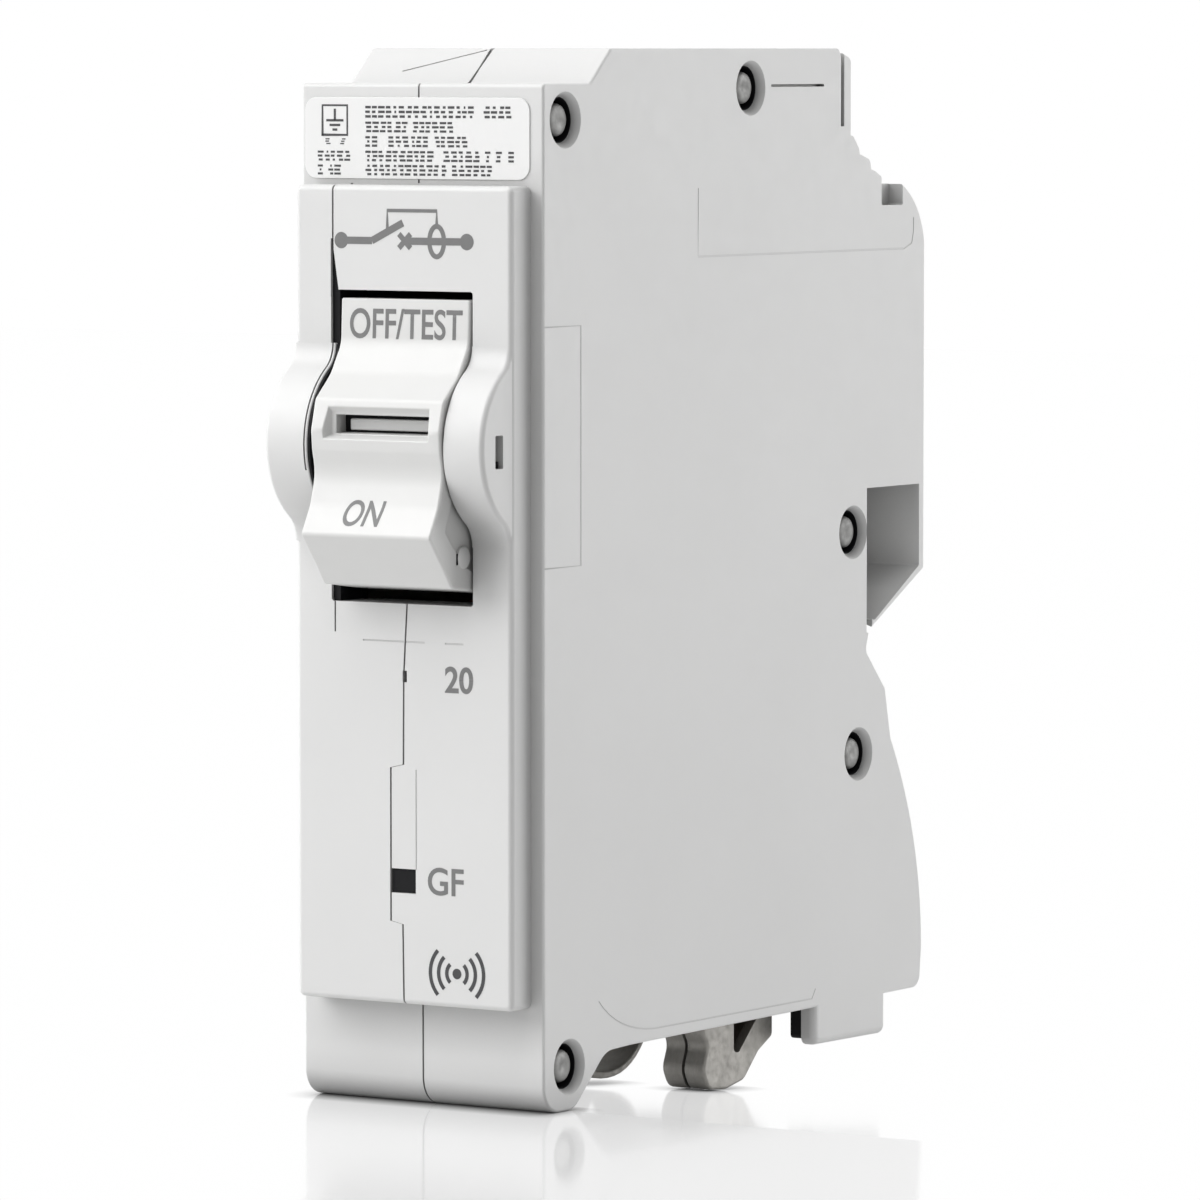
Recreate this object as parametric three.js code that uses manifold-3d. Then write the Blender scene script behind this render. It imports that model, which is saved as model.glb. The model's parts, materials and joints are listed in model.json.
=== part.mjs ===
// A single-pole plug-on ground-fault circuit breaker, as its separate pieces.
// Millimetres. +X is the breaker's right side, +Y its back, +Z up.
// Heights are measured from the bottom of the front foot, and the root group lifts the whole
// breaker so that the load jaw, its lowest piece, ends at Z = 0.

import * as THREE from 'three';
import { mergeVertices } from 'three/addons/utils/BufferGeometryUtils.js';
import Module from 'manifold-3d';

const wasm = await Module();
wasm.setup();

// ---------------------------------------------------------------- driving dimensions
const WIDTH = 25.0;             // one inch panel pitch
const HALF = WIDTH / 2;
const DEPTH = 63.5;             // flat front of the case to its back
const HEIGHT = 91.2;            // front foot to the top
const JAW_DROP = 1.85;          // load jaw below the front foot
const WALL = 1.7;
const SEAM = 0.15;              // half the gap between the two case halves
const GAP = 0.3;                // clearance between pieces that rest on each other

const BEZEL = { half: 11.2, proud: 2.9, bottom: 9.1, top: 79.5 };
const CHEEK = { inner: 7.35, outer: 11.0, radius: 8.0, fillet: 2.6 };
const OPENING = { half: 7.4, bottom: 43.65, top: 70.5 };
const INDICATOR = { left: -1.34, right: 1.25, bottom: 18.7, top: 20.8 };

const PIVOT = { y: 0.7, z: 57.3 };      // handle axis
const HANDLE = { half: 6.6, radius: 12.7, skirt: 1.7, boreRadius: 1.6 };
const PIN_RADIUS = 1.5;

const RIVETS = [[3.4, 85.1], [33.3, 87.7], [50.9, 47.5], [51.9, 27.3], [4.0, 3.8]];
const RIVET = { shaft: 1.5, bore: 1.75, head: 2.1, recess: 2.4, depth: 1.5, headThick: 0.8, post: 3.1 };

const PARTITION = { left: 2.1, right: 2.9 };
const MECHANISM_X = -4.5;               // middle plane of the contact arm and its neighbours
const ELECTRONICS_X = 6.1;              // middle plane of the electronics bay
const BOARD = { left: 9.3, right: 10.5 };
const SENSOR = { y: 40.6, z: 22.6, inner: 4.6, outer: 8.4 };

// ---------------------------------------------------------------- materials
const material = (color, roughness, metalness = 0) =>
  new THREE.MeshStandardMaterial({ color, roughness, metalness });

const MATERIALS = {
  caseWhite: material(0xe6e6e3, 0.55),
  handleWhite: material(0xf2f2f0, 0.5),
  labelWhite: material(0xf7f7f5, 0.45),
  insulator: material(0x8a4b2a, 0.7),
  fibre: material(0xb9a27a, 0.8),
  steel: material(0xa9a9a6, 0.4, 1),
  blackSteel: material(0x4a4a4a, 0.5, 1),
  copper: material(0xb87333, 0.35, 1),
  tinned: material(0xb8b4aa, 0.35, 1),
  silver: material(0xd8d8d8, 0.25, 1),
  brass: material(0xb59a4a, 0.35, 1),
  board: material(0x1f5c34, 0.5),
  black: material(0x141414, 0.4),
  ferrite: material(0x2a2a30, 0.6),
  enamel: material(0x9a4a1c, 0.4),
  blueDisc: material(0x23529c, 0.5),
  bobbin: material(0xd9d2b8, 0.6),
};

// ---------------------------------------------------------------- solids
/** A closed geometry as a solid, whatever way its faces wind. */
function solidOf(geometry) {
  const bare = geometry.clone();
  bare.deleteAttribute('normal');
  bare.deleteAttribute('uv');
  const merged = mergeVertices(bare, 1e-5);
  return new wasm.Manifold(new wasm.Mesh({
    numProp: 3,
    vertProperties: new Float32Array(merged.attributes.position.array),
    triVerts: new Uint32Array(merged.index.array),
  }));
}

function geometryOf(solid) {
  const { vertProperties, triVerts } = solid.getMesh();
  const geometry = new THREE.BufferGeometry();
  geometry.setAttribute('position', new THREE.BufferAttribute(new Float32Array(vertProperties), 3));
  geometry.setIndex(new THREE.BufferAttribute(new Uint32Array(triVerts), 1));
  geometry.computeVertexNormals();
  return geometry;
}

const join = (first, ...others) => others.reduce((sum, solid) => sum.add(solid), first);
const cut = (first, ...others) => others.reduce((rest, solid) => rest.subtract(solid), first);

function block([x0, x1], [y0, y1], [z0, z1]) {
  const geometry = new THREE.BoxGeometry(x1 - x0, y1 - y0, z1 - z0);
  geometry.translate((x0 + x1) / 2, (y0 + y1) / 2, (z0 + z1) / 2);
  return solidOf(geometry);
}

/** Columns of a matrix that takes the shape's own (u, v, extrusion) axes to the model's. */
const TO_AXIS = {
  x: new THREE.Matrix4().makeBasis(
    new THREE.Vector3(0, 1, 0), new THREE.Vector3(0, 0, 1), new THREE.Vector3(1, 0, 0)),
  y: new THREE.Matrix4().makeBasis(
    new THREE.Vector3(0, 0, 1), new THREE.Vector3(1, 0, 0), new THREE.Vector3(0, 1, 0)),
  z: new THREE.Matrix4().identity(),
};

/** Extrudes a shape along an axis: (u, v) is (y, z) for x, (z, x) for y and (x, y) for z. */
function prism(axis, shape, [from, to], curveSegments = 6) {
  const geometry = new THREE.ExtrudeGeometry(shape, {
    depth: to - from, bevelEnabled: false, curveSegments,
  });
  geometry.translate(0, 0, from);
  geometry.applyMatrix4(TO_AXIS[axis]);
  return solidOf(geometry);
}

const polygon = (points) => new THREE.Shape(points.map(([u, v]) => new THREE.Vector2(u, v)));

function disc(u, v, radius) {
  const shape = new THREE.Shape();
  shape.absarc(u, v, radius, 0, Math.PI * 2, false);
  return shape;
}

/** A round bar along an axis, centred on (u, v) in that axis's shape plane. */
const rod = (axis, [u, v], radius, span, sides = 20) =>
  prism(axis, disc(u, v, radius), span, sides);

/** A flat strip of even thickness that follows a centre line in its shape plane. */
function strip(points, thickness) {
  const half = thickness / 2;
  const side = (sign) => points.map(([u, v], i) => {
    const [u0, v0] = points[Math.max(i - 1, 0)];
    const [u1, v1] = points[Math.min(i + 1, points.length - 1)];
    const into = new THREE.Vector2(u - u0, v - v0).normalize();
    const out = new THREE.Vector2(u1 - u, v1 - v).normalize();
    const along = into.clone().add(out).normalize();
    const square = i === 0 ? out : into;
    const reach = half / Math.max(along.dot(square), 0.4);
    return [u - along.y * sign * reach, v + along.x * sign * reach];
  });
  return polygon([...side(1), ...side(-1).reverse()]);
}

/** Points on an arc about (cu, cv), from one angle to the other, in degrees. */
function arcPoints([cu, cv], radius, fromDeg, toDeg, steps) {
  return Array.from({ length: steps + 1 }, (_, i) => {
    const angle = THREE.MathUtils.degToRad(fromDeg + (toDeg - fromDeg) * i / steps);
    return [cu + radius * Math.cos(angle), cv + radius * Math.sin(angle)];
  });
}

const breaker = new THREE.Group();

function addPiece(name, solid, look) {
  const mesh = new THREE.Mesh(geometryOf(solid), look.clone());
  mesh.name = name;
  breaker.add(mesh);
  return mesh;
}

// ---------------------------------------------------------------- case
/** Side outline of the case, (y, z), clockwise from the foot's front corner. */
function caseOutline() {
  const shape = new THREE.Shape();
  shape.moveTo(0, 5.0);
  shape.lineTo(0, 88.2);
  shape.lineTo(7.3, 88.2);
  shape.lineTo(10.6, HEIGHT);
  shape.lineTo(48.0, HEIGHT);
  shape.lineTo(50.5, 89.9);
  shape.lineTo(50.5, 83.4);
  shape.lineTo(54.3, 80.3);
  shape.lineTo(57.8, 78.9);
  shape.lineTo(59.5, 78.9);
  shape.quadraticCurveTo(63.0, 77.2, DEPTH, 73.6);
  shape.lineTo(DEPTH, 43.6);
  shape.lineTo(54.2, 38.4);
  shape.quadraticCurveTo(52.6, 37.0, 54.2, 35.2);
  shape.lineTo(56.6, 33.1);
  shape.quadraticCurveTo(57.7, 31.9, 57.7, 28.4);
  shape.quadraticCurveTo(63.3, 19.0, 63.3, 8.6);
  shape.quadraticCurveTo(63.3, 5.7, 60.8, 5.6);
  shape.lineTo(56.9, 5.4);
  shape.lineTo(56.9, 5.1);
  shape.lineTo(13.4, 5.1);
  shape.quadraticCurveTo(9.6, 5.1, 8.2, 2.4);
  shape.quadraticCurveTo(6.9, 0, 4.4, 0);
  shape.quadraticCurveTo(0.4, 0.3, 0, 5.0);
  return shape;
}

/** The hollow inside the case, one wall in from its outline. */
const cavityOutline = () => polygon([
  [1.8, 7.6], [1.8, 86.4], [7.9, 86.4], [11.3, 89.5], [47.2, 89.5], [48.8, 82.4], [53.4, 78.4],
  [57.4, 77.1], [60.3, 76.2], [61.8, 73.2], [61.8, 44.7], [52.7, 39.6], [51.5, 37.0],
  [52.7, 34.3], [55.2, 32.0], [56.0, 27.8], [59.4, 20.8], [61.3, 13.0], [61.6, 8.0],
  [60.4, 7.0], [12.9, 6.8],
]);

/** Side outline of a cheek: an arc about the handle's axis that runs into the bezel's face. */
function cheekOutline() {
  const { radius, fillet } = CHEEK;
  const face = -BEZEL.proud;
  // The hollow fillet touches the face and the arc, so its centre is radius + fillet from the axis.
  const drop = PIVOT.y - (face - fillet);
  const rise = Math.sqrt((radius + fillet) ** 2 - drop ** 2);
  const turn = THREE.MathUtils.radToDeg(Math.atan2(rise, drop));
  return polygon([
    [0.5, PIVOT.z - rise],
    ...arcPoints([face - fillet, PIVOT.z - rise], fillet, 0, turn, 3),
    ...arcPoints([PIVOT.y, PIVOT.z], radius, 180 + turn, 180 - turn, 12),
    ...arcPoints([face - fillet, PIVOT.z + rise], fillet, -turn, 0, 3),
    [0.5, PIVOT.z + rise],
  ]);
}

function bezelSolid() {
  const { half, proud, bottom, top } = BEZEL;
  const plate = block([-half, half], [-proud, 0.5], [bottom, top]);
  const cheeks = [[-CHEEK.outer, -CHEEK.inner], [CHEEK.inner, CHEEK.outer]]
    .map((span) => prism('x', cheekOutline(), span));
  return join(plate, ...cheeks);
}

/** Posts that carry the rivets through the hollow case. */
const rivetPosts = () => RIVETS.map((centre) =>
  rod('x', centre, RIVET.post, [-HALF + WALL / 2, HALF - WALL / 2], 9));

function rivetHoles() {
  return RIVETS.flatMap((centre) => [
    rod('x', centre, RIVET.bore, [-HALF - 1, HALF + 1], 9),
    rod('x', centre, RIVET.recess, [HALF - RIVET.depth, HALF + 1], 9),
    rod('x', centre, RIVET.recess, [-HALF - 1, -HALF + RIVET.depth], 9),
  ]);
}

/** Hooks under both side walls that hold the breaker on the panel's rail. */
const railHooks = () => [-1, 1].map((side) => prism('x', polygon([
  [44.6, 5.6], [44.6, 1.6], [46.0, 1.35], [56.4, 1.35], [56.9, 1.9], [56.9, 5.9]]),
  side < 0 ? [-HALF, -HALF + 1.9] : [HALF - 1.9, HALF]));

/** Bosses behind the cheeks that carry the ends of the handle's pin. */
const pinBosses = () => [-1, 1].map((side) => rod('x', [PIVOT.y, PIVOT.z], 3.4,
  side < 0 ? [-HALF + WALL / 2, -CHEEK.inner] : [CHEEK.inner, HALF - WALL / 2], 10));

const SIDE_POCKET = { y: [54.0, 62.5], bottom: 38.7, top: 51.4, floor: 6.8 };

const pocketOutline = (grow) => polygon([
  [SIDE_POCKET.y[0] - grow, SIDE_POCKET.bottom - grow], [SIDE_POCKET.y[0] - grow, SIDE_POCKET.top + grow],
  [SIDE_POCKET.y[1] + grow, SIDE_POCKET.top + grow], [SIDE_POCKET.y[1] + grow, 43.9 - grow]]);

/** Ways through the case for the handle, the lamp, the bus stab and the two bottom contacts. */
function caseOpenings() {
  const { half, bottom, top } = OPENING;
  const handleWell = block([-half, half], [-12, 6], [bottom, top]);
  const lamp = block([INDICATOR.left, INDICATOR.right], [-6, 6], [INDICATOR.bottom, INDICATOR.top]);
  const stab = block([-8.4, -1.6], [60, 66], [45.4, 54.4]);
  const loadJaw = block([2.9, 8.8], [29.2, 42.6], [4, 8]);
  const neutral = block([-5.7, -0.9], [23.2, 37.6], [4, 8]);
  return [handleWell, lamp, stab, loadJaw, neutral];
}

function hollowCase() {
  const inner = HALF - WALL;
  const body = join(prism('x', caseOutline(), [-HALF, HALF], 5), bezelSolid(), ...railHooks());
  const cavity = prism('x', cavityOutline(), [-inner, inner]);
  const bezelHollows = [[11.0, 41.6], [72.4, 77.6]].map((z) => block([-9.4, 9.4], [-1.2, 2.2], z));
  const pocketWalls = prism('x', pocketOutline(1.3), [SIDE_POCKET.floor - 1.3, HALF - 0.5])
    .intersect(prism('x', caseOutline(), [-HALF, HALF], 5));
  const pocket = prism('x', pocketOutline(0), [SIDE_POCKET.floor, HALF + 1]);
  const pinBore = rod('x', [PIVOT.y, PIVOT.z], PIN_RADIUS + 0.05, [-9.6, 9.6], 14);
  return cut(
    join(cut(body, cavity, ...bezelHollows), ...rivetPosts(), ...pinBosses(), pocketWalls),
    pocket, pinBore, ...rivetHoles(), ...caseOpenings());
}

/** Right-hand side of the seam; above the handle it steps left round the nameplate panel. */
function seamRegion(gap) {
  const side = block([gap, HALF + 5], [-20, DEPTH + 20], [-20, HEIGHT + 20]);
  const panel = block([-7.5 + gap, gap + 1], [-20, 2.2], [OPENING.top - 1, 74.8 - gap]);
  return join(side, panel);
}

function addCase() {
  const shell = hollowCase();
  addPiece('right_case_half', shell.intersect(seamRegion(SEAM)), MATERIALS.caseWhite);
  addPiece('left_case_half', shell.subtract(seamRegion(-SEAM)), MATERIALS.caseWhite);
}

function addLabel() {
  const plate = block([-12.1, 11.1], [-0.25, -0.05], [80.1, 86.9]);
  addPiece('rating_label', plate, MATERIALS.labelWhite);
}

/** A through rivet: a shaft with a rolled head sunk in each side of the case. */
function addRivets() {
  const headStart = HALF - RIVET.depth + 0.02;
  RIVETS.forEach((centre, index) => {
    const shaft = rod('x', centre, RIVET.shaft, [-headStart, headStart], 7);
    const heads = [-1, 1].map((side) => rod('x', centre, RIVET.head,
      side < 0 ? [-headStart - RIVET.headThick, -headStart] : [headStart, headStart + RIVET.headThick], 9));
    addPiece(`case_rivet_${index + 1}`, join(shaft, ...heads), MATERIALS.steel);
  });
}

/** Insulating wall between the switching mechanism and the electronics. */
function addPartition() {
  const span = [PARTITION.left, PARTITION.right];
  const sheet = prism('x', polygon([
    [2.3, 8.2], [2.3, 85.9], [8.2, 85.9], [11.5, 89.0], [46.7, 89.0], [48.2, 82.0], [52.9, 77.9],
    [57.0, 76.5], [59.9, 75.7], [61.2, 72.9], [61.2, 45.2], [52.2, 40.0], [50.9, 37.0], [52.2, 34.1],
    [54.6, 31.8], [55.5, 27.6], [60.8, 12.9], [61.0, 8.4], [60.2, 7.5], [12.9, 7.4]]), span);
  const bores = RIVETS.map((centre) => rod('x', centre, RIVET.post + GAP, [0, 5], 9));
  const handleSwing = rod('x', [PIVOT.y, PIVOT.z], 14.2, [0, 5], 20);
  const sensorWay = rod('x', [SENSOR.y, SENSOR.z], 4.2, [0, 5], 10);
  const tripSlot = block([0, 5], [40.6, 46.6], [60.5, 82.5]);
  const loadJawWay = block([0, 5], [28.8, 43.0], [6.5, 9.4]);
  const lampWay = block([0, 5], [1, 14.5], [17.6, 22.0]);
  const testWay = block([0, 5], [13.5, 19.4], [62.5, 70.5]);
  addPiece('mid_partition',
    cut(sheet, ...bores, handleSwing, sensorWay, tripSlot, loadJawWay, lampWay, testWay),
    MATERIALS.insulator);
}

// ---------------------------------------------------------------- handle
/** Side outline of the rocker: off panel, finger recess, on panel, ridge and round skirt. */
function handleOutline() {
  const centre = [PIVOT.y, PIVOT.z];
  const skirt = arcPoints(centre, HANDLE.radius, 246, 320, 10);
  const skirtBack = arcPoints(centre, HANDLE.radius - HANDLE.skirt, 320, 246, 9);
  return polygon([
    [-2.9, 69.8], [-2.95, 66.2], [-3.6, 64.4], [-5.5, 62.5], [-6.5, 61.5],
    [-6.9, 60.8], [-5.0, 60.4], [-5.0, 59.3], [-7.4, 58.4],
    [-7.45, 56.8], [-7.05, 55.0], [-7.25, 53.5], [-7.95, 51.8], [-9.1, 50.0],
    [-7.9, 48.2], [-6.5, 46.6], ...skirt, ...skirtBack,
    [-6.6, 50.2], [-5.4, 54.2], [-5.4, 57.4], [-3.4, 58.6], [-3.4, 61.4], [-1.0, 64.6], [-1.0, 69.8],
  ]);
}

function addHandle() {
  const centre = [PIVOT.y, PIVOT.z];
  const span = [-HANDLE.half, HANDLE.half];
  const shell = prism('x', handleOutline(), span);
  const hub = rod('x', centre, 3.6, span, 14);
  const webs = [-HANDLE.half, -1.0, HANDLE.half - 1.6].map((x) => prism('x', polygon([
    [-5.8, 48.2], [-6.8, 50.6], [-5.6, 57.2], [-3.6, 61.0], [-1.2, 65.0], [1.2, 65.0], [3.4, 60.0],
    [6.8, 50.2], [6.4, 47.0], [0.7, 45.4], [-4.2, 46.4]]), [x, x + 1.6]));
  const bore = rod('x', centre, HANDLE.boreRadius, [-9, 9], 14);
  addPiece('handle', cut(join(shell, hub, ...webs), bore), MATERIALS.handleWhite);
  addPiece('handle_pivot_pin', rod('x', centre, PIN_RADIUS, [-9.4, 9.4], 14), MATERIALS.steel);
}

// ---------------------------------------------------------------- switching mechanism
const mechanismSpan = (width) => [MECHANISM_X - width / 2, MECHANISM_X + width / 2];
const ARM_PIVOT = [18.6, 60.0];
const CRADLE_PIVOT = [25.0, 76.5];
const CONTACT_Z = 35.4;

function addContacts() {
  const arm = prism('x', polygon([
    [16.2, 61.4], [17.6, 63.4], [20.4, 62.8], [22.2, 58.0], [29.4, 45.0], [32.2, 37.8], [32.2, 33.6],
    [30.0, 33.6], [29.6, 37.2], [26.8, 43.0], [17.0, 57.2]]), mechanismSpan(2.0));
  const armBore = rod('x', ARM_PIVOT, 1.05, [-9, 9], 8);
  addPiece('contact_arm', cut(arm, armBore), MATERIALS.copper);
  addPiece('contact_arm_pin', rod('x', ARM_PIVOT, 1.0, [-10.5, 1.8], 8), MATERIALS.steel);
  addPiece('moving_contact_tip',
    rod('y', [CONTACT_Z, MECHANISM_X], 1.5, [32.25, 33.3], 10), MATERIALS.silver);
  addPiece('fixed_contact_tip',
    rod('y', [CONTACT_Z, MECHANISM_X], 1.7, [33.6, 34.7], 10), MATERIALS.silver);
}

function addLineSide() {
  const bar = prism('x', strip([[35.4, 32.8], [35.4, 41.6], [53.8, 41.6]], 1.2), mechanismSpan(5));
  addPiece('fixed_contact_bar', bar, MATERIALS.copper);
  const base = block([-8.0, -2.0], [54.7, 56.1], [41.6, 53.6]);
  const leaves = [-1, 1].map((side) => prism('z', strip([
    [-5 + side * 2.6, 55.4], [-5 + side * 2.6, 56.4], [-5 + side * 1.2, 57.9],
    [-5 + side * 2.0, 58.8]], 0.8), [45.8, 53.6]));
  addPiece('line_jaw', join(base, ...leaves), MATERIALS.tinned);
}

/** A bent steel clip that squeezes the line jaw's leaves from outside. */
function addLineJawSpring() {
  const clip = prism('z', strip([
    [-5 - 1.9, 58.6], [-5 - 4.1, 56.6], [-5 - 4.1, 54.1], [-5 + 4.1, 54.1], [-5 + 4.1, 56.6],
    [-5 + 1.9, 58.6]], 0.5), [54.2, 57.2]);
  addPiece('line_jaw_spring', clip, MATERIALS.steel);
}

/** Steel plates that split and cool the arc, held in a fibre frame. */
function addArcChute() {
  const plateCount = 5;
  const frameX = [-10.5, 1.6];
  const [y0, y1, z0, z1] = [20.4, 36.8, 17.4, 30.2];
  const sides = frameX.map((x, i) => (i === 0 ? [x, x + 0.6] : [x - 0.6, x]))
    .map((x) => block(x, [y0, y1], [z0, z1]));
  const back = block(frameX, [y1 - 0.6, y1], [z0, z1]);
  addPiece('arc_chute_frame', join(back, ...sides), MATERIALS.fibre);
  const pitch = (z1 - z0) / plateCount;
  for (let i = 0; i < plateCount; i += 1) {
    const z = z0 + pitch * (i + 0.5);
    const plate = prism('z', polygon([
      [-9.6, y0 + 0.5], [-7.2, y0 + 0.5], [-5.3, y0 + 9], [-3.7, y0 + 9], [-1.7, y0 + 0.5],
      [0.7, y0 + 0.5], [0.7, y1 - 0.9], [-9.6, y1 - 0.9]]), [z - 0.5, z + 0.5]);
    addPiece(`arc_plate_${i + 1}`, plate, MATERIALS.blackSteel);
  }
}

/** The latched lever that lets the contacts fly open when its free end is released. */
function addCradle() {
  const lever = prism('x', polygon([
    [22.6, 77.6], [24.4, 79.2], [30.0, 78.0], [41.0, 74.4], [46.4, 73.2], [46.4, 71.2], [40.0, 71.8],
    [31.0, 70.8], [27.0, 73.0], [23.2, 74.2]]), mechanismSpan(2.0));
  addPiece('trip_cradle', cut(lever, rod('x', CRADLE_PIVOT, 1.25, [-9, 9], 8)), MATERIALS.blackSteel);
  addPiece('cradle_pivot_pin', rod('x', CRADLE_PIVOT, 1.2, [-10.5, 1.8], 8), MATERIALS.steel);
}

/** A coil spring along a line in the mechanism plane, from one hook to the other. */
function coilGeometry(from, to, x, coilRadius, wire, turns, stepsPerTurn = 9) {
  const start = new THREE.Vector3(x, ...from);
  const axis = new THREE.Vector3(x, ...to).sub(start);
  const side = new THREE.Vector3(1, 0, 0);
  const up = axis.clone().normalize().cross(side);
  class Helix extends THREE.Curve {
    getPoint(t) {
      const angle = t * turns * Math.PI * 2;
      return start.clone().addScaledVector(axis, t)
        .addScaledVector(side, coilRadius * Math.cos(angle))
        .addScaledVector(up, coilRadius * Math.sin(angle));
    }
  }
  return new THREE.ExtrudeGeometry(disc(0, 0, wire), {
    steps: turns * stepsPerTurn, curveSegments: 3, bevelEnabled: false, extrudePath: new Helix(),
  });
}

function addOperatingSpring() {
  addPiece('operating_spring',
    solidOf(coilGeometry([28.4, 68.6], [25.0, 52.0], -7.4, 1.3, 0.35, 8)), MATERIALS.steel);
}

const ARMATURE_PIVOT = [47.3, 79.0];

/** Overload and short-circuit sensing: bimetal, its yoke and the armature they pull. */
function addTripUnit() {
  const bimetal = prism('x', strip([[54.2, 76.2], [50.6, 75.6], [50.6, 53.6]], 0.9), mechanismSpan(5));
  addPiece('bimetal_strip', bimetal, MATERIALS.brass);
  const yokeWeb = block([-8.6, -0.4], [52.6, 54.0], [57.8, 70.0]);
  const yokeArms = [[-8.6, -7.4], [-1.6, -0.4]].map((x) => block(x, [49.2, 53.0], [57.8, 70.0]));
  addPiece('magnet_yoke', join(yokeWeb, ...yokeArms), MATERIALS.blackSteel);
  const plate = block([-8.6, -0.4], [46.8, 47.9], [56.0, 76.6]);
  const knuckle = rod('x', ARMATURE_PIVOT, 1.9, [-7.4, -1.6], 8);
  const neck = block([-7.4, -1.6], [46.8, 47.9], [76.0, 78.6]);
  const latchWindow = block([-6.3, -2.7], [46, 49], [70.6, 73.3]);
  const armature = cut(join(plate, knuckle, neck), rod('x', ARMATURE_PIVOT, 1.05, [-9, 9], 8), latchWindow);
  addPiece('armature', armature, MATERIALS.steel);
  addPiece('armature_pin', rod('x', ARMATURE_PIVOT, 1.0, [-10.5, 1.8], 8), MATERIALS.steel);
}

function addCalibrationScrew() {
  const shank = rod('y', [73.0, MECHANISM_X], 1.1, [51.6, 58.0], 8);
  const head = rod('y', [73.0, MECHANISM_X], 2.0, [58.0, 60.0], 10);
  const slot = block([MECHANISM_X - 3, MECHANISM_X + 3], [59.4, 61], [72.7, 73.3]);
  addPiece('calibration_screw', cut(join(shank, head), slot), MATERIALS.brass);
}

/** Flexible copper braid from the bimetal's free end towards the contact arm. */
function addBraid() {
  const run = prism('x', strip([
    [50.3, 52.8], [47.6, 50.6], [43.6, 49.4], [39.4, 50.4], [35.4, 52.2], [31.0, 52.4],
    [26.9, 51.4]], 1.2),
    mechanismSpan(3.2));
  addPiece('flexible_braid', run, MATERIALS.copper);
}

// ---------------------------------------------------------------- ground-fault electronics
/** Ring-shaped transformer that both conductors pass through, with its winding. */
function addSensor() {
  const { y, z, inner, outer } = SENSOR;
  const ring = (from, to, span) => cut(rod('x', [y, z], to, span, 14), rod('x', [y, z], from, [0, 12], 12));
  addPiece('sensor_core', ring(inner + 0.8, outer - 0.9, [4.4, 7.6]), MATERIALS.ferrite);
  const bundles = Array.from({ length: 8 }, (_, i) => {
    const shape = polygon([
      ...arcPoints([y, z], outer, i * 45 + 4, i * 45 + 40, 3),
      ...arcPoints([y, z], inner, i * 45 + 40, i * 45 + 4, 3)]);
    return prism('x', shape, [3.7, 8.3]);
  });
  const sleeve = ring(inner + 0.5, outer - 0.6, [4.1, 7.9]);
  const hollow = ring(inner + 0.78, outer - 0.88, [4.38, 7.62]);
  const strandGap = block([3, 9], [y - 0.1, y + 0.1], [z + inner - 1, z + outer + 1]);
  addPiece('sensor_winding', cut(join(sleeve, ...bundles), hollow, strandGap), MATERIALS.enamel);
}

/** Load conductor: through the sensor ring, round it and down to the load jaw. */
function addLoadConductor() {
  const yRange = [41.2, 43.0];
  const through = block([-6.8, 9.0], yRange, [21.2, 23.0]);
  const down = block([8.7, 10.3], yRange, [7.6, 23.0]);
  const across = block([4.2, 10.3], [37.6, yRange[1]], [7.6, 9.2]);
  const up = block([-6.8, -5.2], yRange, [21.2, 39.0]);
  addPiece('load_conductor', join(through, down, across, up), MATERIALS.copper);
}

function addNeutralConductor() {
  const yRange = [38.2, 39.8];
  const through = block([-4.0, 9.0], yRange, [21.2, 22.8]);
  const rise = block([8.7, 10.3], yRange, [21.2, 33.4]);
  const drop = block([-4.0, -2.4], yRange, [9.6, 22.8]);
  addPiece('neutral_conductor', join(through, rise, drop), MATERIALS.tinned);
}

/** Tinned jaw that grips the panel's load lug: two leaves, split down the middle. */
function addLoadJaw() {
  const outline = polygon([
    [30.2, 7.2], [30.2, 1.0], [30.8, -0.7], [32.6, -1.7], [34.6, -JAW_DROP], [36.8, -1.4],
    [38.2, 0.2], [41.2, 3.0], [41.2, 7.2]]);
  const window = polygon([[35.4, 3.6], [38.9, 3.6], [36.4, 0.6], [35.4, 0.6]]);
  const body = cut(prism('x', outline, [3.5, 8.0]), prism('x', window, [0, 12]));
  const mouth = block([5.45, 6.05], [20, 45], [-4, 5.6]);
  addPiece('load_jaw', cut(body, mouth), MATERIALS.tinned);
}

function addNeutralContact() {
  const leaf = prism('x', strip([
    [25.0, 9.2], [25.0, 2.6], [26.2, 0.4], [28.4, -0.7], [30.8, -0.7], [33.4, 0.4], [35.6, 2.2],
    [36.4, 4.6], [36.4, 9.2]], 0.8), [-5.0, -1.6]);
  addPiece('neutral_contact', leaf, MATERIALS.tinned);
}

function addBoard() {
  const sheet = prism('x', polygon([
    [15.6, 34.2], [15.6, 80.5], [45.0, 80.5], [45.0, 36.0], [43.2, 34.2]]), [BOARD.left, BOARD.right]);
  addPiece('circuit_board', sheet, MATERIALS.board);
  const chip = block([8.3, BOARD.left - 0.05], [30.5, 37.5], [48.0, 55.0]);
  addPiece('controller_chip', chip, MATERIALS.black);
  addPiece('surge_varistor', rod('x', [21.8, 42.0], 5.2, [5.0, 8.4], 14), MATERIALS.blueDisc);
  addPiece('filter_capacitor', rod('z', [ELECTRONICS_X, 41.0], 2.9, [36.0, 46.0], 12), MATERIALS.black);
  const diode = rod('z', [8.1, 26.2], 1.0, [50.0, 54.6], 10);
  addPiece('rectifier_diode', diode, MATERIALS.black);
  const resistor = join(rod('z', [8.0, 23.2], 1.05, [50.4, 56.4], 10),
    rod('z', [8.0, 23.2], 0.35, [48.8, 58.0], 6));
  addPiece('dropping_resistor', resistor, MATERIALS.bobbin);
}

const SOLENOID = { z: 66.0, radius: 3.2, y: [23.0, 35.0] };

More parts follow.
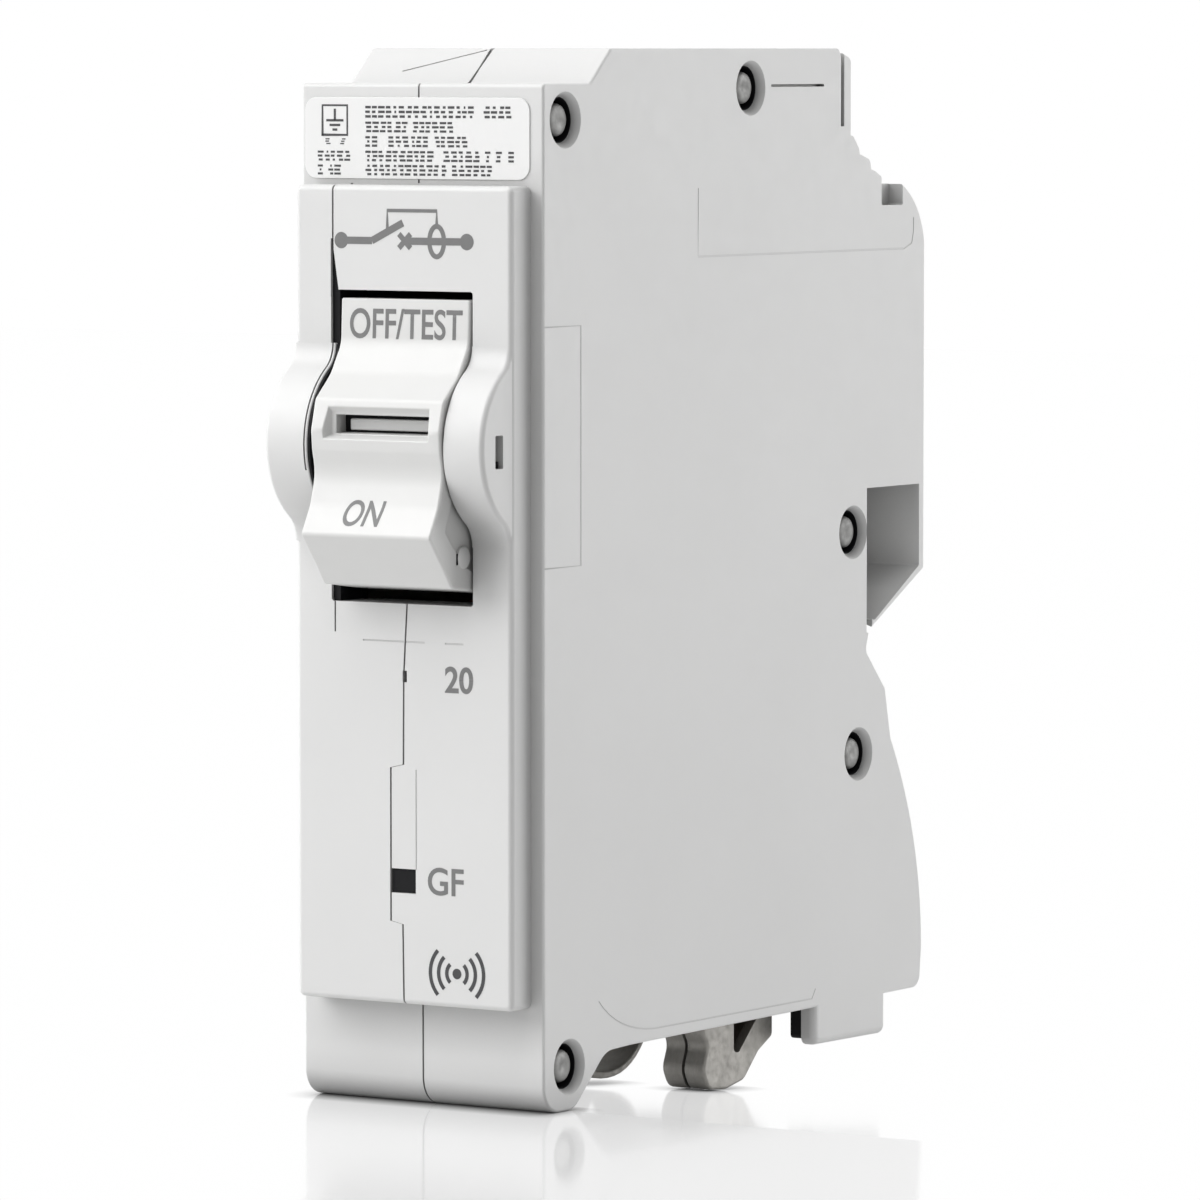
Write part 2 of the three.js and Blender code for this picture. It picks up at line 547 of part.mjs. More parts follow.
/** Trip solenoid: its plunger strikes the trip lever when a ground fault is sensed. */
function addSolenoid() {
  const { z, radius, y } = SOLENOID;
  const centre = [z, ELECTRONICS_X];
  const frameTop = block([3.5, 8.7], [y[0] - 1.4, y[1] + 1.4], [z + 3.5, z + 4.5]);
  const ends = [[y[0] - 1.4, y[0] - 0.4], [y[1] + 0.4, y[1] + 1.4]]
    .map((span) => block([3.5, 8.7], span, [z - 3.4, z + 4.5]));
  addPiece('solenoid_frame',
    cut(join(frameTop, ...ends), rod('y', centre, 1.5, [0, 60], 12)), MATERIALS.blackSteel);
  const bobbin = rod('y', centre, 2.0, y, 12);
  const flanges = [[y[0], y[0] + 0.8], [y[1] - 0.8, y[1]]].map((span) => rod('y', centre, radius, span, 14));
  const coreBore = rod('y', centre, 1.4, [0, 60], 12);
  addPiece('solenoid_bobbin', cut(join(bobbin, ...flanges), coreBore), MATERIALS.bobbin);
  const winding = rod('y', centre, radius - 0.2, [y[0] + 0.9, y[1] - 0.9], 14);
  addPiece('solenoid_winding',
    cut(winding, rod('y', centre, 2.05, [0, 60], 12)), MATERIALS.enamel);
  const shank = rod('y', centre, 1.2, [y[0] + 1.0, 39.4], 12);
  const button = rod('y', centre, 2.2, [39.0, 40.0], 12);
  addPiece('solenoid_plunger', join(shank, button), MATERIALS.steel);
  const spring = coilGeometry([36.8, z], [38.6, z], ELECTRONICS_X, 1.75, 0.22, 3);
  addPiece('plunger_spring', solidOf(spring), MATERIALS.steel);
}

const TRIP_PIVOT = [43.6, 79.4];

/** Lever across both bays: struck by the plunger on one side, it pushes the armature on the other. */
function addTripLever() {
  const shaft = rod('x', TRIP_PIVOT, 1.3, [-8.4, 8.4], 10);
  const bore = rod('x', TRIP_PIVOT, 0.65, [-10, 10], 8);
  const strikeArm = prism('x', polygon([
    [42.6, 79.4], [44.6, 79.4], [43.2, 63.4], [40.4, 63.4], [40.4, 68.4], [41.8, 69.4]]), [4.6, 7.6]);
  const pushArm = prism('x', polygon([
    [42.9, 79.4], [44.6, 79.4], [46.0, 66.0], [46.0, 62.4], [44.4, 62.4]]), [-1.5, -0.6]);
  addPiece('trip_lever', cut(join(shaft, strikeArm, pushArm), bore), MATERIALS.black);
  addPiece('trip_lever_pin', rod('x', TRIP_PIVOT, 0.6, [-10.4, 9.0], 8), MATERIALS.steel);
}

/** Spring leaf that the handle touches at its off end, to run the self test. */
function addTestSwitch() {
  const leaf = prism('x', strip([[14.6, 64.0], [16.4, 66.4], [17.6, 69.6], [20.4, 72.0]], 0.4), [3.6, 6.0]);
  addPiece('test_contact_leaf', leaf, MATERIALS.brass);
}

function addIndicator() {
  const { left, right, bottom, top } = INDICATOR;
  const lens = block([left + 0.05, right - 0.05], [-2.7, 8.0], [bottom + 0.05, top - 0.05]);
  const flange = block([left - 0.9, right + 0.6], [2.1, 3.1], [bottom - 0.8, top + 0.8]);
  addPiece('indicator_lens', join(lens, flange), MATERIALS.black);
  const lamp = rod('y', [(bottom + top) / 2, (left + right) / 2], 1.4, [8.3, 11.6], 12);
  addPiece('indicator_lamp', lamp, MATERIALS.bobbin);
}

addCase();
addLabel();
addRivets();
addPartition();
addHandle();
addContacts();
addLineSide();
addLineJawSpring();
addArcChute();
addCradle();
addOperatingSpring();
addTripUnit();
addCalibrationScrew();
addBraid();
addSensor();
addLoadConductor();
addNeutralConductor();
addLoadJaw();
addNeutralContact();
addBoard();
addSolenoid();
addTripLever();
addTestSwitch();
addIndicator();

/** The origin sits under the middle of the whole breaker's box. */
function centreOnOrigin(group) {
  group.position.set(0, 0, JAW_DROP);
  group.updateMatrixWorld(true);
  const box = new THREE.Box3().setFromObject(group);
  group.position.y = -(box.min.y + box.max.y) / 2;
  return group;
}

export default centreOnOrigin(breaker);
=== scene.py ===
import json
import math
import random

import bmesh
import bpy
from mathutils import Matrix, Vector


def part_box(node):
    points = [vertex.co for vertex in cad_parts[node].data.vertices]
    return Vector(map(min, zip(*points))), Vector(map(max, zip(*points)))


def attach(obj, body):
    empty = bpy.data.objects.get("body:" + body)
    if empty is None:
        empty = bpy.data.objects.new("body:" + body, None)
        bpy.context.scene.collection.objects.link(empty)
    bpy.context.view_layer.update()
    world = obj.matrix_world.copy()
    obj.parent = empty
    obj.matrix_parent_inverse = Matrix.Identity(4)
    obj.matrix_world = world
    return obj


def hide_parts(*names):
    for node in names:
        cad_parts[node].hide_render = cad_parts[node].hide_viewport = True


# Looks for a single-pole plug-on ground-fault circuit breaker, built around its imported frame.
# Lengths are millimetres in the breaker's own axes until a piece is placed: X to its right, Y from
# the flat front of the case to its back, Z up from the bottom of its front foot.
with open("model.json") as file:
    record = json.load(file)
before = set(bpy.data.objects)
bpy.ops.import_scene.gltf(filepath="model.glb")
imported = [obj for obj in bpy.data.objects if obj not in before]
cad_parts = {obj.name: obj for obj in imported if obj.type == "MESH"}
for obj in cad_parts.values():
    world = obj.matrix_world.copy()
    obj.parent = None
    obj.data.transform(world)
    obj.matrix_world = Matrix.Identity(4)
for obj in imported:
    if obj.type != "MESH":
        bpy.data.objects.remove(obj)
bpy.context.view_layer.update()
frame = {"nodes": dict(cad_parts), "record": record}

MM = 0.001
FRONT_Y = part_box("rating_label")[1].y + 0.05 * MM
FOOT_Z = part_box("right_case_half")[0].z
PLACE = Matrix.Translation((0, FRONT_Y, FOOT_Z)) @ Matrix.Scale(MM, 4)

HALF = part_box("right_case_half")[1].x / MM     # half the case's width
WALL = 1.7
COVER = {"half": 11.2, "face": -2.9, "bottom": 9.1, "top": 79.5, "round": 0.5}
CHEEKS = ((-11.45, -7.0), (7.05, 11.1))
CHEEK = {"radius": 8.0, "fillet": 2.6}
WELL = {"left": -7.5, "right": 7.2, "bottom": 43.65, "top": 70.5}
WINDOW = {"left": -1.34, "right": 1.25, "bottom": 18.7, "top": 20.8}
PIVOT = (0.7, 57.3)
HANDLE = {"left": -6.45, "right": 6.95}
SKIRT = {"outer": 12.7, "inner": 11.0}
RIVETS = [(3.4, 85.1), (33.3, 87.7), (50.9, 47.5), (51.9, 27.3), (4.0, 3.8)]
POCKET = [(54.0, 38.9, 0.6), (54.0, 51.4, 0.4), (62.55, 51.4, 0.1), (62.55, 43.9, 0.2)]
SLOPE = ((7.3, 88.2), (10.6, 91.2))            # (y, z) at the foot and the head of the top front slope
SEAM = 0.085                                   # half the gap between the two case halves
SLIVER = 0.01                                  # a face narrower than this is a boolean's leftover
INK_RISE = 0.02                                # how far print stands above its face
INK_ROOT = 0.04                                # how far it reaches below
FEW_SHAPES = 20                                # print with fewer shapes than this is merged into one
LABEL_ROWS = [                                 # left end, right end, middle height and tallness of type
    (-5.8, 9.4, 85.75, 1.0), (-5.8, 4.7, 84.45, 0.9), (-5.8, 4.95, 83.2, 0.9), (-5.8, 9.55, 81.95, 0.9),
    (-5.8, 7.7, 80.75, 0.9), (-10.8, -7.0, 81.95, 0.85), (-10.8, -8.2, 80.75, 0.85), (-10.1, -7.9, 83.2, 0.5)]
CAMERA = {"lens": 242.3, "azimuth": 33.0, "below_level": 3.906, "across": 0.3907, "before": 0.57355,
          "above": 0.09118}


# ---------------------------------------------------------------- outlines
def rounded(corners, step=10):
    """A closed outline from corners (u, v, radius), each rounded by an arc of that radius."""
    points = []
    for i, (u, v, radius) in enumerate(corners):
        here = Vector((u, v))
        before = Vector(corners[i - 1][:2]) - here
        after = Vector(corners[(i + 1) % len(corners)][:2]) - here
        if not radius:
            points.append(here)
            continue
        half = before.angle(after) / 2
        reach = min(radius / math.tan(half), 0.5 * before.length, 0.5 * after.length)
        radius = reach * math.tan(half)
        centre = here + (before.normalized() + after.normalized()).normalized() * radius / math.sin(half)
        start = here + before.normalized() * reach - centre
        end = here + after.normalized() * reach - centre
        sweep = start.angle_signed(end)
        count = max(2, math.ceil(math.degrees(abs(sweep)) / step))
        for k in range(count + 1):
            points.append(centre + Matrix.Rotation(-sweep * k / count, 2) @ start)
    return points


def bend(start, pull, end, count=10):
    """Points on a quadratic curve from start towards pull and on to end."""
    a, b, c = Vector(start), Vector(pull), Vector(end)
    ts = [i / count for i in range(count + 1)]
    return [a * (1 - t) ** 2 + b * 2 * t * (1 - t) + c * t * t for t in ts]


def arc(centre, radius, start, end, count):
    """Points on an arc, from one angle to the other in degrees."""
    angles = [math.radians(start + (end - start) * i / count) for i in range(count + 1)]
    return [Vector(centre) + radius * Vector((math.cos(a), math.sin(a))) for a in angles]


def box_outline(u0, u1, v0, v1, radius=0):
    return rounded([(u0, v0, radius), (u1, v0, radius), (u1, v1, radius), (u0, v1, radius)], 15)


def band(line, width):
    """A strip of even width along a line of points."""
    line = [Vector(p) for p in line]
    sides = ([], [])
    for i, here in enumerate(line):
        along = (line[min(i + 1, len(line) - 1)] - line[max(i - 1, 0)]).normalized()
        across = Vector((-along.y, along.x)) * width / 2
        sides[0].append(here + across)
        sides[1].append(here - across)
    return sides[0] + sides[1][::-1]


def turn_even(ring):
    """The outline without doubled points, running anticlockwise."""
    ring = [Vector(p) for p in ring]
    ring = [p for i, p in enumerate(ring) if (p - ring[i - 1]).length > 1e-4]
    area = sum(ring[i - 1].cross(ring[i]) for i in range(len(ring)))
    return ring if area > 0 else ring[::-1]


def inset(ring, distance):
    """An anticlockwise outline moved inwards along its mitres, less where an arc is tighter."""
    moved = []
    for i, here in enumerate(ring):
        before = here - ring[i - 1]
        after = ring[(i + 1) % len(ring)] - here
        into, out = before.normalized(), after.normalized()
        turn = -into.angle_signed(out, 0)
        pull = distance
        if 0.02 < turn < 0.6:
            pull = min(distance, 0.9 * min(before.length, after.length) / turn)
        normals = Vector((-into.y, into.x)) + Vector((-out.y, out.x))
        moved.append(here + normals * pull * 2 / max(normals.length_squared, 0.4))
    return moved


# ---------------------------------------------------------------- solids
def add_object(name, vertices, faces):
    mesh = bpy.data.meshes.new(name)
    mesh.from_pydata([tuple(v) for v in vertices], [], faces)
    work = bmesh.new()
    work.from_mesh(mesh)
    bmesh.ops.recalc_face_normals(work, faces=work.faces)
    work.to_mesh(mesh)
    work.free()
    piece = bpy.data.objects.new(name, mesh)
    bpy.context.scene.collection.objects.link(piece)
    return piece


def on_axis(axis, u, v, level):
    return {"x": (level, u, v), "y": (u, level, v), "z": (u, v, level)}[axis]


def loft(name, rings):
    """A closed solid through rings of points, one after another, with flat ends."""
    count = len(rings[0])
    faces = [tuple(range(count)), tuple(range((len(rings) - 1) * count, len(rings) * count))]
    for row in range(len(rings) - 1):
        for i in range(count):
            j = (i + 1) % count
            faces.append((row * count + i, row * count + j, (row + 1) * count + j, (row + 1) * count + i))
    return add_object(name, [p for ring in rings for p in ring], faces)


def prism(axis, outline, span, rims=(0, 0), steps=4):
    """An outline between two levels of an axis: (y, z) for x, (x, z) for y, (x, y) for z.
    rims are the radii that round the edges of the low and the high end."""
    ring = turn_even(outline)
    levels = []
    for end, inward, radius in ((span[0], 1, rims[0]), (span[1], -1, rims[1])):
        turns = [math.pi / 2 * i / steps for i in range(steps + 1)] if radius else [math.pi / 2]
        side = [(end + inward * radius * (1 - math.cos(t)), radius * (1 - math.sin(t))) for t in turns]
        levels += side if inward > 0 else side[::-1]
    return loft("solid", [[on_axis(axis, p.x, p.y, level) for p in inset(ring, pull)]
                          for level, pull in levels])


def block(xs, ys, zs):
    return prism("x", box_outline(*ys, *zs), xs)


def lathe(axis, centre, profile, sides=40):
    """A round solid along an axis from a profile of (radius, level)."""
    angles = [2 * math.pi * i / sides for i in range(sides)]
    return loft("round", [[on_axis(axis, centre[0] + r * math.cos(a), centre[1] + r * math.sin(a), level)
                           for a in angles] for r, level in profile])


def tube(axis, centre, profile, sides=40):
    """A ring turned from a closed profile of (radius, level) that stays clear of the axis."""
    rows = []
    for i in range(sides):
        a = 2 * math.pi * i / sides
        rows.append([on_axis(axis, centre[0] + r * math.cos(a), centre[1] + r * math.sin(a), level)
                     for r, level in profile])
    count = len(profile)
    faces = [(i * count + k, i * count + (k + 1) % count, (i + 1) % sides * count + (k + 1) % count,
              (i + 1) % sides * count + k) for i in range(sides) for k in range(count)]
    return add_object("ring", [p for row in rows for p in row], faces)


def rod(axis, centre, radius, span, sides=40):
    return lathe(axis, centre, [(radius, span[0]), (radius, span[1])], sides)


def bake(piece):
    """Applies the modifiers."""
    graph = bpy.context.evaluated_depsgraph_get()
    mesh = bpy.data.meshes.new_from_object(piece.evaluated_get(graph))
    piece.modifiers.clear()
    piece.data = mesh
    return piece


def combine(operation, base, tools):
    """A boolean of base with each tool in turn. The tools are used up."""
    for tool in tools:
        step = base.modifiers.new("boolean", "BOOLEAN")
        step.operation = operation
        step.object = tool
        step.solver = "MANIFOLD"
    bake(base)
    for tool in tools:
        bpy.data.objects.remove(tool)
    return base


def tidy(piece, flat=True):
    """Merges the slivers that booleans leave and, if flat, the triangles of each flat face."""
    work = bmesh.new()
    work.from_mesh(piece.data)
    bmesh.ops.remove_doubles(work, verts=work.verts, dist=0.002)
    bmesh.ops.dissolve_degenerate(work, edges=work.edges, dist=0.002)
    if flat:
        bmesh.ops.dissolve_limit(work, angle_limit=math.radians(0.6), verts=work.verts, edges=work.edges)
    work.to_mesh(piece.data)
    work.free()
    return piece


def join(base, *tools):
    return combine("UNION", base, tools)


def cut(base, *tools):
    return combine("DIFFERENCE", base, tools)


def common(base, *tools):
    return combine("INTERSECT", base, tools)


def copy_of(piece):
    twin = piece.copy()
    twin.data = piece.data.copy()
    bpy.context.scene.collection.objects.link(twin)
    return twin


def soften(piece, width, angle=35, segments=2):
    """Rounds the edges that are sharper than the angle."""
    tidy(piece)
    step = piece.modifiers.new("edges", "BEVEL")
    step.width = width
    step.segments = segments
    step.limit_method = "ANGLE"
    step.angle_limit = math.radians(angle)
    step.use_clamp_overlap = False
    step.harden_normals = False
    return bake(piece)


def mark_edges(mesh, angle):
    """Marks edges sharper than the angle. A sliver takes the normal of the face on its longest edge,
    so that it can't make a flat face look creased."""
    work = bmesh.new()
    work.from_mesh(mesh)
    normals = {face.index: face.normal.copy() for face in work.faces}

    def height(face):
        return 2 * face.calc_area() / max(*(edge.calc_length() for edge in face.edges), 1e-9)

    slivers = {face.index for face in work.faces if height(face) < SLIVER * MM}
    for _ in range(3):
        for face in work.faces:
            if face.index not in slivers:
                continue
            longest = max(face.edges, key=lambda edge: edge.calc_length())
            for other in longest.link_faces:
                if other != face:
                    normals[face.index] = normals[other.index]
    for edge in work.edges:
        sides = edge.link_faces
        edge.smooth = len(sides) == 2 and normals[sides[0].index].angle(normals[sides[1].index], 0) < angle
    for face in work.faces:
        face.smooth = True
    work.to_mesh(mesh)
    work.free()


def dress(piece, name, body, material, stands_for=(), smooth_angle=38):
    """Places a finished piece in the frame, with its shading, material and body, and hides the parts it
    stands for.
    """
    piece.name = name
    mesh = piece.data
    mesh.transform(PLACE)
    mark_edges(mesh, math.radians(smooth_angle))
    even = piece.modifiers.new("even", "WEIGHTED_NORMAL")
    even.keep_sharp = True
    bake(piece)
    piece.data.name = name
    piece.data.materials.clear()
    piece.data.materials.append(material)
    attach(piece, body)
    if stands_for:
        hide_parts(*stands_for)
    return piece


# ---------------------------------------------------------------- materials
def new_material(name, colour, roughness, metallic=0.0):
    material = bpy.data.materials.new(name)
    material.use_nodes = True
    shader = material.node_tree.nodes["Principled BSDF"]
    shader.inputs["Base Color"].default_value = (*colour, 1)
    shader.inputs["Roughness"].default_value = roughness
    shader.inputs["Metallic"].default_value = metallic
    return material


def noise(material, scale, detail=3.0, stretch=(1, 1, 1)):
    """A noise field in the piece's own coordinates. The scale is in cycles per metre."""
    nodes, links = material.node_tree.nodes, material.node_tree.links
    place = nodes.new("ShaderNodeTexCoord")
    mapping = nodes.new("ShaderNodeMapping")
    mapping.inputs["Scale"].default_value = stretch
    field = nodes.new("ShaderNodeTexNoise")
    field.inputs["Scale"].default_value = scale
    field.inputs["Detail"].default_value = detail
    links.new(place.outputs["Object"], mapping.inputs["Vector"])
    links.new(mapping.outputs["Vector"], field.inputs["Vector"])
    return field.outputs["Fac"]


def spread(material, field, low, high):
    """Maps a field from its usual 0.3 to 0.7 onto low to high."""
    step = material.node_tree.nodes.new("ShaderNodeMapRange")
    step.inputs["From Min"].default_value = 0.3
    step.inputs["From Max"].default_value = 0.7
    step.inputs["To Min"].default_value = low
    step.inputs["To Max"].default_value = high
    material.node_tree.links.new(field, step.inputs["Value"])
    return step.outputs["Result"]


def tint(material, field, dark, light):
    """Blends two colours by a field into the base colour."""
    nodes, links = material.node_tree.nodes, material.node_tree.links
    mix = nodes.new("ShaderNodeMix")
    mix.data_type = "RGBA"
    mix.inputs[6].default_value = (*dark, 1)
    mix.inputs[7].default_value = (*light, 1)
    links.new(spread(material, field, 0, 1), mix.inputs[0])
    links.new(mix.outputs[2], nodes["Principled BSDF"].inputs["Base Color"])


def roughen(material, field, low, high):
    shader = material.node_tree.nodes["Principled BSDF"]
    material.node_tree.links.new(spread(material, field, low, high), shader.inputs["Roughness"])


def emboss(material, field, strength, depth):
    """Bump from a field. The depth is in metres."""
    nodes, links = material.node_tree.nodes, material.node_tree.links
    bump = nodes.new("ShaderNodeBump")
    bump.inputs["Strength"].default_value = strength
    bump.inputs["Distance"].default_value = depth
    links.new(field, bump.inputs["Height"])
    links.new(bump.outputs["Normal"], nodes["Principled BSDF"].inputs["Normal"])


def paint_shade_in_hollows(material, depth, strength):
    """Darkens the base colour where other surfaces stand close: painted shade in hollows, gaps and corners.
    """
    nodes, links = material.node_tree.nodes, material.node_tree.links
    base = nodes["Principled BSDF"].inputs["Base Color"]
    colour = base.links[0].from_socket
    nearby = nodes.new("ShaderNodeAmbientOcclusion")
    nearby.samples = 8
    nearby.inputs["Distance"].default_value = depth
    level = nodes.new("ShaderNodeMapRange")
    level.inputs["From Min"].default_value = 0.0
    level.inputs["From Max"].default_value = 1.0
    level.inputs["To Min"].default_value = 1.0 - strength
    level.inputs["To Max"].default_value = 1.0
    scale = nodes.new("ShaderNodeVectorMath")
    scale.operation = "SCALE"
    links.new(nearby.outputs["AO"], level.inputs["Value"])
    links.new(colour, scale.inputs[0])
    links.new(level.outputs["Result"], scale.inputs["Scale"])
    links.new(scale.outputs["Vector"], base)


def moulded(name, colour, roughness, grain=0.25, specular=0.5):
    """Moulded thermoplastic: fine spark-eroded grain and slightly uneven gloss and colour."""
    material = new_material(name, colour, roughness)
    material.node_tree.nodes["Principled BSDF"].inputs["Specular IOR Level"].default_value = specular
    dark = tuple(c * 0.975 for c in colour)
    tint(material, noise(material, 60, 4), dark, colour)
    roughen(material, noise(material, 900, 5), roughness - 0.05, roughness + 0.06)
    emboss(material, noise(material, 7000, 2), grain, 0.00001)
    return material


def metal(name, colour, roughness, stretch=(1, 1, 1), grain=0.35, metallic=1.0):
    """Plated or bare metal with drawn or rolled marks along the stretched axis."""
    material = new_material(name, colour, roughness, metallic)
    tint(material, noise(material, 700, 5), tuple(c * 0.78 for c in colour), colour)
    roughen(material, noise(material, 1800, 5, stretch), roughness - 0.08, roughness + 0.12)
    emboss(material, noise(material, 4200, 4, stretch), grain, 0.00002)
    return material


def flat_paint(name, colour, roughness, grain_scale=3000, variation=0.85):
    material = new_material(name, colour, roughness)
    tint(material, noise(material, grain_scale / 4, 4), tuple(c * variation for c in colour), colour)
    roughen(material, noise(material, grain_scale, 4), roughness - 0.06, roughness + 0.06)
    emboss(material, noise(material, grain_scale, 3), 0.3, 0.00002)
    return material


MATERIALS = {
    "case_plastic": moulded("case_plastic", (0.79, 0.79, 0.785), 0.42),
    "handle_plastic": moulded("handle_plastic", (0.78, 0.78, 0.77), 0.38, 0.15),
    "label_film": moulded("label_film", (0.93, 0.93, 0.925), 0.35, 0.08),
    "red_fibre_board": flat_paint("red_fibre_board", (0.30, 0.12, 0.06), 0.7),
    "vulcanised_fibre": flat_paint("vulcanised_fibre", (0.50, 0.40, 0.26), 0.75),
    "zinc_steel": metal("zinc_steel", (0.46, 0.46, 0.455), 0.46),
    "rivet_steel": metal("rivet_steel", (0.24, 0.24, 0.235), 0.6, grain=1.0),
    "dark_steel": metal("dark_steel", (0.12, 0.12, 0.12), 0.45),
    "copper": metal("copper", (0.80, 0.40, 0.24), 0.32, (1, 1, 6)),
    "tinned_copper": metal("tinned_copper", (0.30, 0.29, 0.27), 0.5, (4, 1, 1), metallic=0.7),
    "silver_alloy": metal("silver_alloy", (0.85, 0.84, 0.82), 0.25),
    "brass": metal("brass", (0.78, 0.60, 0.28), 0.3, (1, 1, 5)),
    "circuit_laminate": flat_paint("circuit_laminate", (0.03, 0.17, 0.07), 0.35, 2500),
    "black_moulding": moulded("black_moulding", (0.006, 0.006, 0.007), 0.55, specular=0.15),
    "ferrite": flat_paint("ferrite", (0.05, 0.05, 0.06), 0.6),
    "enamelled_wire": metal("enamelled_wire", (0.50, 0.18, 0.06), 0.3, (8, 1, 1)),
    "blue_epoxy": moulded("blue_epoxy", (0.03, 0.10, 0.40), 0.3),
    "nylon": moulded("nylon", (0.75, 0.70, 0.52), 0.45),
}
# Painted shade: the case and rocker colours darken in their hollows and gaps.
paint_shade_in_hollows(MATERIALS["case_plastic"], 0.005, 0.6)
paint_shade_in_hollows(MATERIALS["handle_plastic"], 0.004, 0.4)
INK = flat_paint("print_ink", (0.19, 0.19, 0.19), 0.5, 5000, 0.9)
DARK_INK = flat_paint("label_ink", (0.045, 0.045, 0.048), 0.5, 5000, 0.8)


def dress_cad_nodes():
    """Gives every node that stays in view its slot's material."""
    slots = {row["node"]: row["material_slot"] for row in frame["record"]["subparts"]}
    for name, node in frame["nodes"].items():
        node.data.materials.clear()
        node.data.materials.append(MATERIALS[slots[name]])


# ---------------------------------------------------------------- case
def case_outline():
    """The case from its right side, clockwise from the foot."""
    foot = [(4.9, 0, 2.4), (9.9, 4.5, 3.2), (13.8, 4.65, 0)]
    hook_side = [(62.9, 5.0, 1.2)]
    front = [(0, 88.2, 0.35), (*SLOPE[0], 0.5), (*SLOPE[1], 0.6)]
    top = [(48.4, 91.2, 0.5), (48.75, 90.6, 0), (49.2, 90.75, 0), (50.5, 90.3, 0.6)]
    teeth = [(50.5, 83.4, 0), (51.0, 83.3, 0.35), (52.0, 82.2, 0.7), (52.1, 81.7, 0.1), (53.9, 81.2, 0.7),
             (54.1, 80.3, 0.1), (54.9, 80.1, 0.4), (57.6, 78.9, 0.2), (59.4, 78.9, 0.4)]
    shoulder = [(*p, 0) for p in bend((59.7, 78.8), (62.9, 77.1), (63.5, 73.6))]
    back = [(63.5, 43.6, 0.4), (53.9, 38.45, 1.0), (53.3, 36.6, 0.8), (56.7, 33.0, 0.8)]
    belly = [(*p, 0) for p in bend((57.7, 28.4), (63.3, 19.0), (63.3, 8.6), 14)]
    return rounded([(0, 0, 4.6)] + [(0, 60, 0)] + front + top + teeth + shoulder + back + belly
                   + hook_side + foot[::-1], 9)


def cavity_outline():
    return rounded([
        (1.8, 7.6, 1), (1.8, 86.4, 1), (7.9, 86.4, 1), (11.3, 89.5, 1), (47.2, 89.5, 1), (48.8, 82.4, 1),
        (53.4, 78.4, 1), (57.4, 77.1, 0.5), (60.3, 76.2, 1), (61.8, 73.2, 1), (61.8, 44.7, 1),
        (52.7, 39.6, 1), (51.5, 37.0, 1), (52.7, 34.3, 1), (55.2, 32.0, 1), (56.0, 27.8, 1),
        (59.4, 20.8, 2), (61.3, 13.0, 2), (61.6, 8.0, 1), (60.4, 7.0, 1), (12.9, 6.8, 1)], 20)


def cheek_outline():
    """An arc about the handle's axis that runs into the cover's face through hollow fillets."""
    radius, fillet, face = CHEEK["radius"], CHEEK["fillet"], COVER["face"]
    y, z = PIVOT
    drop = y - (face - fillet)
    rise = math.sqrt((radius + fillet) ** 2 - drop ** 2)
    turn = math.degrees(math.atan2(rise, drop))
    return ([Vector((-0.5, z - rise))]
            + arc((face - fillet, z - rise), fillet, 0, turn, 10)
            + arc((y, z), radius, 180 + turn, 180 - turn, 30)
            + arc((face - fillet, z + rise), fillet, -turn, 0, 10)
            + [Vector((-0.5, z + rise))])


def cover_plate():
    half, face = COVER["half"], COVER["face"]
    return prism("y", box_outline(-half, half, COVER["bottom"], COVER["top"], 0.6), (face, 0.5),
                 (COVER["round"], 0), 5)


def cheeks():
    """The two round cheeks that flank the handle, rounder on their outer sides."""
    return [prism("x", cheek_outline(), span, rims, 5)
            for span, rims in zip(CHEEKS, ((0.45, 0.15), (0.15, 0.45)))]


def rail_hooks():
    """The hook under each side wall, with its outer edges well rounded."""
    outline = rounded([(44.4, 8.0, 0), (44.4, 1.4, 0.8), (56.9, 1.3, 0.8), (56.9, 8.0, 0)])
    return [prism("x", outline, (-HALF, -HALF + 1.5), (0.7, 0.1), 4),
            prism("x", outline, (HALF - 1.5, HALF), (0.1, 0.7), 4)]


def make_hook_shade_webs():
    """A black web inside each hook, set back from the hook's front edge, as painted shade in the hook."""
    outline = rounded([(44.7, 6.5, 0), (44.7, 1.9, 0.4), (56.5, 1.8, 0.4), (56.5, 6.5, 0)])
    for word, span in (("left", (-HALF + 1.4, -HALF + 2.8)), ("right", (HALF - 2.8, HALF - 1.4))):
        dress(prism("x", outline, span, (0.1, 0.1), 2), f"hook_shade_web_{word}", "case",
              MATERIALS["black_moulding"])


def side_marks():
    """Cuts in the right wall: slit, top notch, groove behind the top and faint mould outlines."""
    out = HALF + 1
    slit = prism("x", box_outline(36.7, 45.7, 87.78, 88.02, 0.1), (HALF - 0.6, out))
    notch = prism("x", rounded([(55.75, 77.0, 0.2), (59.5, 76.95, 0.2), (59.5, 79.6, 0), (55.75, 80.3, 0)]),
                  (HALF - 1.5, out))
    groove = block((HALF - 1.3, out), (48.62, 49.2), (84.2, 93))
    faint = HALF - 0.04
    panel_line = prism("x", band([(24.6, 79.0), (24.6, 73.0), (59.7, 73.0), (61.1, 73.5), (61.4, 74.6),
                                  (61.4, 75.8)], 0.16), (faint, out))
    door = prism("x", band([(-1, 67.5), (5.8, 67.5), (5.8, 46.9), (-1, 46.9)], 0.14), (faint, out))
    sill_line = [*bend((8.6, 9.0), (11.6, 6.0), (17.5, 5.75), 8), (43.9, 5.75), (44.5, 6.6)]
    sill = prism("x", band(sill_line, 0.12), (faint, out))
    return [slit, notch, groove, panel_line, door, sill]


def rivet_seats():
    """A conical mouth, then a narrower well round each rivet head, on both sides."""
    seats = []
    for centre in RIVETS:
        for side in (-1, 1):
            levels = [(2.44, HALF + 1), (2.44, HALF), (2.36, HALF - 0.1), (1.98, HALF - 0.72),
                      (1.98, HALF - 4.0)]
            seats.append(lathe("x", centre, [(r, side * level) for r, level in levels], 36))
        seats.append(rod("x", centre, 1.75, (-HALF, HALF), 24))
    return seats


